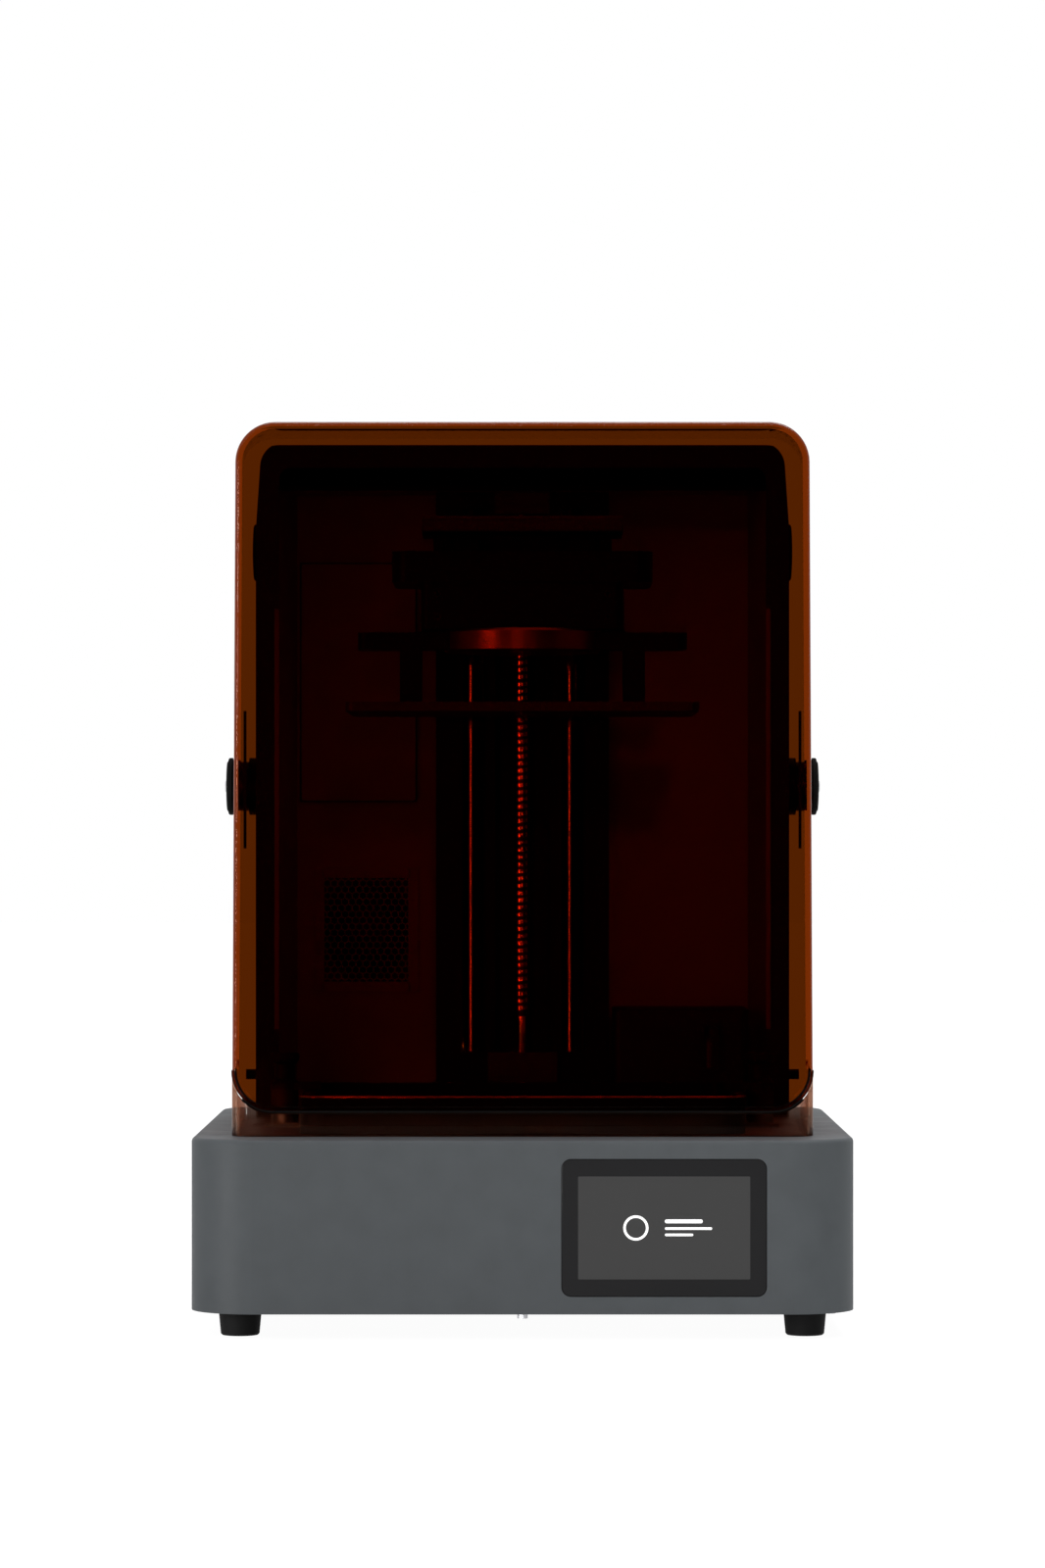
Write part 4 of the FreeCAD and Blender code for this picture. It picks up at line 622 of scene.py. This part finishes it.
def makeScreen():
    look = screenLook
    low, high = spanOf("screen_glass")
    glass = bmesh.new()
    face = low.y + look["setBack"]
    addSlab(glass, (low.x, face, low.z), (high.x, high.y, high.z), look["corner"], look["edge"])
    addPiece("screenBezel", glass, ["bezelGlass"], "base", 30, ["screen_glass"])
    lit = bmesh.new()
    aside, above = look["litInset"]
    litFace = face - look["litProud"]
    addSlab(lit, (low.x + aside, litFace, low.z + above),
            (high.x - aside, face + look["litDeep"], high.z - above), look["litCorner"], 0)
    addPiece("screenLitArea", lit, ["litGlass"], "base", 30)
    marks = bmesh.new()
    middle = (low + high) / 2
    inner, outer = look["ring"]
    ringHigh = look["ringHigh"]
    ringX, ringZ = look["ringPlace"]
    addLathe(marks, [(inner, 0), (outer, 0), (outer, ringHigh), (inner, ringHigh), (inner, 0)],
             look["ringSides"], (middle.x + ringX, litFace, middle.z + ringZ), (0, -1, 0))
    front, back = look["barSpan"]
    for x, z, width, height in look["bars"]:
        addSlab(marks, (middle.x + x, face - front, middle.z + z - height / 2),
                (middle.x + x + width, face - back, middle.z + z + height / 2),
                height * look["barRound"], 0)
    addPiece("screenMarks", marks, ["markGlow"], "base", 30)


makeScreen()
print("screen")

# ball screw with its rolled thread, and the thread's root painted dark: grease and painted shade between
# the crests
threadLook = {"lead": 5.0, "core": 4.85, "crest": 6.0, "rootWidth": 3.4, "crestWidth": 2.4, "perTurn": 16,
              "thread": (196.5, 539.5), "shoulder": (196, 540), "journal": 4.0, "chamfer": 0.4,
              "sink": 0.1, "sides": 24}


def makeScrew():
    look = threadLook
    low, high = spanOf("ball_screw")
    middle = (low + high) / 2
    shape = bmesh.new()
    start, end = look["shoulder"]
    core = look["core"]
    journal = look["journal"]
    tip = journal - look["chamfer"]
    addLathe(shape, [(0, low.z), (tip, low.z), (journal, low.z + look["chamfer"]), (journal, start),
                     (core, start), (core, end), (journal, end), (journal, high.z - look["chamfer"]),
                     (tip, high.z), (0, high.z)], look["sides"])
    # the core between the shoulders wears the dark root finish: grease and painted shade in the thread's
    # root
    for face in shape.faces:
        face.material_index = int(start < face.calc_center_median().z < end)
    bottom, top = look["thread"]
    turns = (top - bottom - look["rootWidth"]) / look["lead"]
    steps = int(turns * look["perTurn"])
    lean = (look["rootWidth"] - look["crestWidth"]) / 2
    root = core - look["sink"]
    profile = [(root, bottom), (look["crest"], bottom + lean),
               (look["crest"], bottom + lean + look["crestWidth"]), (root, bottom + look["rootWidth"])]
    points = [shape.verts.new((radius, 0, height)) for radius, height in profile]
    edges = [shape.edges.new(pair) for pair in zip(points, points[1:])]
    bmesh.ops.spin(shape, geom=points + edges, cent=(0, 0, 0), axis=(0, 0, 1),
                   dvec=(0, 0, look["lead"] / look["perTurn"]),
                   angle=2 * math.pi * steps / look["perTurn"], steps=steps)
    bmesh.ops.translate(shape, verts=shape.verts, vec=(middle.x, middle.y, 0))
    smoothFaces(shape)
    addPiece("threadedScrew", shape, ["brightSteel", "greaseAndShadeRoot"], "screw", 50, ["ball_screw"])


made["brightSteel"] = coatedFinish("brightSteel", {
    "colour": (0.92, 0.92, 0.93), "rough": 0.15, "metal": 1.0, "grain": 400, "bump": 0.06,
    "depth": 0.00003, "swing": 0.06})
# near-black root: grease and painted shade where the crests shadow the core
made["greaseAndShadeRoot"] = coatedFinish("greaseAndShadeRoot", {
    "colour": (0.02, 0.02, 0.02), "rough": 0.4, "gloss": 0.2, "grain": 500})
makeScrew()
print("screw thread")

# guide rails with a crowned face, so that they catch the light as one line
railLook = {"crown": 1.2, "segments": 12, "waist": 5.0, "foot": 3.0, "groove": 4.0, "gauge": 34.4,
            "half": 7.5}


def makeRails():
    look = railLook
    low, high = spanOf("guide_rails")
    half = look["half"]
    foot = high.y - look["foot"]
    flank = [(-half, high.y), (-half, foot), (-look["waist"], foot - look["groove"] / 2),
             (-half, foot - look["groove"])]
    sweep = 2 * math.atan(look["crown"] / half)
    bend = half / math.sin(sweep)
    outline = flank[:]
    for i in range(look["segments"] + 1):
        angle = sweep * (2 * i / look["segments"] - 1)
        outline.append((bend * math.sin(angle), low.y + bend * (1 - math.cos(angle))))
    outline += [(-x, y) for x, y in reversed(flank)]
    shape = bmesh.new()
    for side in (-1, 1):
        part = bmesh.new()
        face = part.faces.new([part.verts.new((x, y, 0)) for x, y in outline])
        pushed = bmesh.ops.extrude_face_region(part, geom=[face], use_keep_orig=True)["geom"]
        bmesh.ops.translate(part, verts=vertsOf(pushed), vec=(0, 0, high.z - low.z))
        bmesh.ops.translate(part, verts=part.verts, vec=(side * look["gauge"], 0, low.z))
        smoothFaces(part)
        mergeInto(shape, part)
    addPiece("crownedRails", shape, ["darkRail"], "base", 30, ["guide_rails"])


makeRails()
print("rails")

# finer perforated plate in front of the chamber fan, with four bars as its frame
grilleLook = {"pitch": 5.0, "web": 1.15, "thick": 1.4, "setIn": 0.1, "rim": 4.2, "overCells": 0.6,
              "lap": 2, "corner": 1.5, "edge": 0.4}


def makeGrille():
    look = grilleLook
    low, high = spanOf("fan_grille")
    middle = (low + high) / 2
    shape = bmesh.new()
    pitch = look["pitch"]
    rise = pitch * math.sqrt(3) / 2
    columns = int((high.x - low.x - 2 * look["rim"]) / pitch)
    rows = int((high.z - low.z - 2 * look["rim"]) / rise)
    for row in range(rows):
        wide = columns + row % 2
        for column in range(wide):
            spot = ((column - (wide - 1) / 2) * pitch, (row - (rows - 1) / 2) * rise, 0)
            cell = bmesh.ops.create_circle(shape, cap_ends=True, radius=pitch / math.sqrt(3), segments=6)
            bmesh.ops.translate(shape, verts=cell["verts"], vec=spot)
    holes = bmesh.ops.inset_individual(shape, faces=shape.faces[:], thickness=look["web"] / 2)
    cells = [f for f in shape.faces if f not in set(holes["faces"])]
    bmesh.ops.delete(shape, geom=cells, context="FACES")
    bmesh.ops.remove_doubles(shape, verts=shape.verts, dist=0.01)
    bmesh.ops.solidify(shape, geom=shape.faces[:], thickness=look["thick"])
    bmesh.ops.rotate(shape, verts=shape.verts, matrix=Matrix.Rotation(math.pi / 2, 3, "X"))
    deepest = max(v.co.y for v in shape.verts)
    bmesh.ops.translate(shape, verts=shape.verts,
                        vec=(middle.x, high.y - look["setIn"] - deepest, middle.z))
    rim = look["rim"] + pitch * look["overCells"]
    left = low.x + rim
    right = high.x - rim
    lap = look["lap"]
    for x0, x1 in ((low.x, left), (right, high.x)):
        addSlab(shape, (x0, low.y, low.z), (x1, high.y, high.z), look["corner"], look["edge"])
    for z0, z1 in ((low.z, low.z + rim), (high.z - rim, high.z)):
        addSlab(shape, (left - lap, low.y, z0), (right + lap, high.y, z1), 0, look["edge"])
    addPiece("hexGrille", shape, ["linerPaint"], "base", 30, ["fan_grille"])


makeGrille()
print("grille")

# dark seals: one under the hood's lower front edge, one let into the sill below it
sealLook = {
    "half": 186.8, "corner": 26, "low": 144.5, "steps": 12,
    "hoodSeal": {"front": -167.4, "reach": 12, "radius": 26.0, "thick": 0.6, "from": 0.0, "round": 0,
                 "body": "hood"},
    "sillSeal": {"front": -169.4, "reach": 13, "radius": 26.6, "thick": 1.2, "from": 0.75, "round": 15,
                 "body": "base"},
}


def makeSeal(name):
    look = sealLook[name]
    shape = bmesh.new()
    inset = sealLook["half"] - sealLook["corner"]
    level = sealLook["low"] + sealLook["corner"]
    radius = look["radius"]
    turn = look["round"]
    points = []
    for side in (1, -1):
        for i in range(sealLook["steps"] + 1):
            share = i / sealLook["steps"] if side > 0 else 1 - i / sealLook["steps"]
            angle = look["from"] + share * (math.pi / 2 - look["from"])
            x = inset + radius * math.cos(angle)
            over = min(max(0, x - sealLook["half"] + turn), turn)
            setBack = turn - math.sqrt(turn ** 2 - over ** 2)
            points.append((side * x, look["front"] + setBack, level - radius * math.sin(angle)))
    verts = [shape.verts.new(point) for point in points]
    edges = [shape.edges.new(pair) for pair in zip(verts, verts[1:])]
    pushed = bmesh.ops.extrude_edge_only(shape, edges=edges)["geom"]
    for vert in vertsOf(pushed):
        vert.co.y = look["front"] + look["reach"]
    bmesh.ops.recalc_face_normals(shape, faces=shape.faces)
    if sum(f.normal.z * f.calc_area() for f in shape.faces) < 0:
        bmesh.ops.reverse_faces(shape, faces=shape.faces)
    bmesh.ops.solidify(shape, geom=shape.faces[:], thickness=look["thick"])
    smoothFaces(shape)
    addPiece(name, shape, ["sealBlack"], look["body"], 40)


makeSeal("hoodSeal")
makeSeal("sillSeal")
print("seals")

# hinge caps with softened steps and a washer behind, and a socket screw in each
hingeLook = {"washer": [(0, 0), (7, 0), (7, -1.3), (18.4, -1.3), (18.4, 0)],
             "cap": [(19.75, 0), (19.75, 2.1), (19.45, 2.7), (18.8, 3.0), (17.2, 3.0), (17.2, 3.55),
                     (16.85, 3.9), (13.15, 3.9), (12.8, 3.55), (12.8, 3.0), (8.6, 3.0), (8.6, 3.55),
                     (8.25, 3.9), (0, 3.9)],
             "sides": 64, "screw": (4.2, 1.5), "sink": 0.1}


def makeHinges():
    look = hingeLook
    low, high = spanOf("hinge_caps")
    middle = (low + high) / 2
    profile = look["washer"] + look["cap"]
    deep = profile[-1][1]
    rings = bmesh.new()
    screws = bmesh.new()
    for side, reach in ((-1, low.x), (1, high.x)):
        addLathe(rings, profile, look["sides"], (reach - side * deep, middle.y, middle.z), (side, 0, 0))
        spot = (reach - side * look["sink"], middle.y, middle.z)
        addHeads(screws, *look["screw"], [spot], (side, 0, 0))
    addPiece("hingeRings", rings, ["sealBlack"], "hood", 35, ["hinge_caps"])
    addPiece("hingeScrews", screws, ["platedSteel"], "hood", 35)


makeHinges()
print("hinge faces")

# side bumpers that the hood's walls pass, and a black strip on the liner's upper front edge: painted
# shade where that edge lies in the chamber's dark top
bumperLook = {"disc": [(0, 2.8), (8, 2.75), (14, 2.6), (18.4, 2.3), (19.3, 1.8), (19.5, 1.1),
                       (19.5, -0.3), (0, -0.3)], "sides": 48}
shadeStripLook = {"high": 3.0, "thick": 0.6, "sink": 0.05, "edge": 0.2}


def makeBumpers():
    look = bumperLook
    low, high = spanOf("side_bumpers")
    y = (low.y + high.y) / 2
    z = (low.z + high.z) / 2
    face = spanOf("rear_housing")[1].x
    discs = bmesh.new()
    for side in (-1, 1):
        addLathe(discs, look["disc"], look["sides"], (side * face, y, z), (side, 0, 0))
    addPiece("bumperDiscs", discs, ["rubber"], "base", 35, ["side_bumpers"])


def makeShadeStrip():
    look = shadeStripLook
    low, high = spanOf("chamber_liner")
    # black strip over the liner's top edge: painted shade that hides the edge's light
    shadeStrip = bmesh.new()
    addSlab(shadeStrip, (low.x, low.y - look["thick"], high.z - look["high"]),
            (high.x, low.y + look["sink"], high.z), 0, look["edge"])
    addPiece("linerShadeStrip", shadeStrip, ["sealBlack"], "base", 30)


makeBumpers()
makeShadeStrip()
print("bumpers and trim")

# socket screws where the solids are bolted together: radius and height of each kind, then their places
boltLook = {"plate": (4.2, 0.7), "small": (2.6, 0.8), "vat": (2.3, 0.18), "panel": (2.4, 1.1),
            "shell": (3.2, 1.2)}
liftPlaces = {"barX": (-96, -66, 66, 96), "barY": (-66, -44), "armX": (-74, 74), "armY": (-78, 4),
              "armLevel": 509.0, "headX": (-56, 56), "headZ": (466, 481)}
casePlaces = {"vatInset": 4.6, "vatSide": (-140, -108, -2, 30), "vatEnd": (-100, -50, 0, 50, 100),
              "vatSink": 0.01, "panelInset": 6, "panelSink": 0.02, "shellX": (-142, 142),
              "shellZ": (152, 315, 478), "shellSink": 0.05}


def makeBolts():
    spots = liftPlaces
    lift = bmesh.new()
    bar = spanOf("platform_bridge")[1].z
    front = spanOf("head_block")[0].y
    level = spots["armLevel"]
    onBar = [(x, y, bar) for x in spots["barX"] for y in spots["barY"]]
    onArm = [(x, y, level) for x in spots["armX"] for y in spots["armY"]]
    onHead = [(x, front, z) for x in spots["headX"] for z in spots["headZ"]]
    addHeads(lift, *boltLook["plate"], onBar, (0, 0, 1))
    addHeads(lift, *boltLook["plate"], onArm, (0, 0, 1))
    addHeads(lift, *boltLook["small"], onHead, (0, -1, 0))
    addPiece("liftBolts", lift, ["blackSteel"], "lift", 35)


made["blackSteel"] = coatedFinish("blackSteel", {
    "colour": (0.03, 0.03, 0.031), "rough": 0.34, "metal": 1.0, "grain": 500, "bump": 0.1})
makeBolts()


# screws on the vat's rim, on the rear panel and on the back of the rear housing
def makeCaseScrews():
    look = casePlaces
    low, high = spanOf("vat_frame")
    rim = bmesh.new()
    inset = look["vatInset"]
    top = high.z - look["vatSink"]
    spots = [(side * (high.x - inset), y, top) for side in (-1, 1) for y in look["vatSide"]]
    spots += [(x, y, top) for x in look["vatEnd"] for y in (low.y + inset, high.y - inset)]
    addHeads(rim, *boltLook["vat"], spots, (0, 0, 1))
    addPiece("vatScrews", rim, ["platedSteel"], "base", 35)
    low, high = spanOf("rear_panel")
    back = bmesh.new()
    inset = look["panelInset"]
    behind = high.y - look["panelSink"]
    spots = [(x, behind, z) for x in (low.x + inset, high.x - inset)
             for z in (low.z + inset, high.z - inset)]
    addHeads(back, *boltLook["panel"], spots, (0, 1, 0))
    behind = spanOf("rear_housing")[1].y - look["shellSink"]
    spots = [(x, behind, z) for x in look["shellX"] for z in look["shellZ"]]
    addHeads(back, *boltLook["shell"], spots, (0, 1, 0))
    addPiece("rearScrews", back, ["blackSteel"], "base", 35)


makeCaseScrews()
print("bolts")

# bright machined edge round the vat's rim, and a black sheet on the deck inside the sill
vatLook = {"wire": 0.95, "inset": 0.86, "corner": 16, "steps": 10, "sides": 8}
deckLook = {"lift": 0.02, "thick": 0.45, "corner": 1.0, "edge": 0.15,
            "strips": [(-181, -165.5, 181, -149), (-181, -148.5, -146.5, -72), (146.5, -148.5, 181, -72),
                       (-181, -38, -146.5, 50), (146.5, -38, 181, 43), (-146, 39, 60, 52)]}


# a round bead led along the four sides of a rounded rectangle
def addBead(shape, low, high, corner, level, radius, look):
    part = bmesh.new()
    ring = bmesh.ops.create_circle(part, segments=look["sides"], radius=radius)["verts"]
    bmesh.ops.rotate(part, verts=ring, matrix=Matrix.Rotation(math.pi / 2, 3, "X"))
    bmesh.ops.translate(part, verts=ring, vec=(high[0], low[1] + corner, level))
    edges = part.edges[:]
    long = high[1] - low[1] - 2 * corner
    wide = high[0] - low[0] - 2 * corner
    runs = [(long, (0, 1, 0), (high[0] - corner, high[1] - corner, level)),
            (wide, (-1, 0, 0), (low[0] + corner, high[1] - corner, level)),
            (long, (0, -1, 0), (low[0] + corner, low[1] + corner, level)),
            (wide, (1, 0, 0), (high[0] - corner, low[1] + corner, level))]
    for length, direction, middle in runs:
        pushed = bmesh.ops.extrude_edge_only(part, edges=edges)["geom"]
        moved = vertsOf(pushed)
        bmesh.ops.translate(part, verts=moved, vec=Vector(direction) * length)
        turned = bmesh.ops.spin(part, geom=moved + edgesOf(pushed), cent=middle, axis=(0, 0, 1),
                                angle=math.pi / 2, steps=look["steps"])["geom_last"]
        edges = edgesOf(turned)
    bmesh.ops.remove_doubles(part, verts=part.verts, dist=0.001)
    smoothFaces(part)
    mergeInto(shape, part)


def makeVatEdge():
    look = vatLook
    low, high = spanOf("vat_frame")
    inset = look["inset"]
    edge = bmesh.new()
    addBead(edge, (low.x + inset, low.y + inset), (high.x - inset, high.y - inset),
            look["corner"] - inset, high.z - inset, look["wire"], look)
    addPiece("vatEdge", edge, ["brightSteel"], "base", 60)


def makeDeck():
    look = deckLook
    deck = bmesh.new()
    floor = spanOf("base_housing")[1].z
    for x0, y0, x1, y1 in look["strips"]:
        addSlab(deck, (x0, y0, floor + look["lift"]), (x1, y1, floor + look["thick"]), look["corner"],
                look["edge"], "z")
    addPiece("deckSheet", deck, ["blackPowder"], "base", 30)


makeVatEdge()
makeDeck()
print("vat edge and deck")

# fluted grip and a pale pointer on each clamp knob
knobLook = {"axisInset": 9.5, "flutes": 30, "depth": 0.05,
            "grip": [(9.2, 19.1), (9.72, 19.5), (9.72, 22.6), (9.3, 23.0)],
            "dish": [(6.6, 23.9), (6.4, 24.12), (5.2, 24.12), (5.0, 23.9)], "dishSides": 40,
            "pointerWide": 1.0, "pointerReach": (3.6, 8.2), "pointerSink": 0.1, "pointerProud": 0.14,
            "pointerCorner": 0.35}


def makeKnob(name, side):
    look = knobLook
    low, high = spanOf("clamp_knob_" + name)
    x = low.x + look["axisInset"] if side < 0 else high.x - look["axisInset"]
    y = (low.y + high.y) / 2
    grip = bmesh.new()
    addLathe(grip, look["grip"], look["flutes"] * 2)
    for vert in grip.verts:
        if round(math.atan2(vert.co.y, vert.co.x) / math.pi * look["flutes"]) % 2:
            vert.co.x *= 1 - look["depth"]
            vert.co.y *= 1 - look["depth"]
    addLathe(grip, look["dish"], look["dishSides"])
    bmesh.ops.translate(grip, verts=grip.verts, vec=(x, y, low.z))
    addPiece("knobGrip" + name.title(), grip, ["moulded"], "knob_" + name, 20)
    mark = bmesh.new()
    half = look["pointerWide"] / 2
    near, far = sorted(x - side * reach for reach in look["pointerReach"])
    addSlab(mark, (near, y - half, high.z - look["pointerSink"]),
            (far, y + half, high.z + look["pointerProud"]), look["pointerCorner"], 0, "z")
    addPiece("knobPointer" + name.title(), mark, ["paleMarkAndHighlight"], "knob_" + name, 30)


makeKnob("left", -1)
makeKnob("right", 1)
print("knobs")

# dark joint line round the filter cover
seamLook = {"wide": 1.1, "proud": 0.15, "deep": 0.4, "corner": 0.2, "edge": 0.06}


def makeSeam():
    look = seamLook
    low, high = spanOf("filter_cover")
    wide = look["wide"]
    front = low.y - look["proud"]
    back = low.y + look["deep"]
    seam = bmesh.new()
    for x0, z0, x1, z1 in ((low.x, low.z, high.x, low.z + wide), (low.x, high.z - wide, high.x, high.z),
                           (low.x, low.z + wide, low.x + wide, high.z - wide),
                           (high.x - wide, low.z + wide, high.x, high.z - wide)):
        addSlab(seam, (x0, front, z0), (x1, back, z1), look["corner"], look["edge"])
    addPiece("filterSeam", seam, ["rubber"], "base", 30)


makeSeam()
print("filter seam")
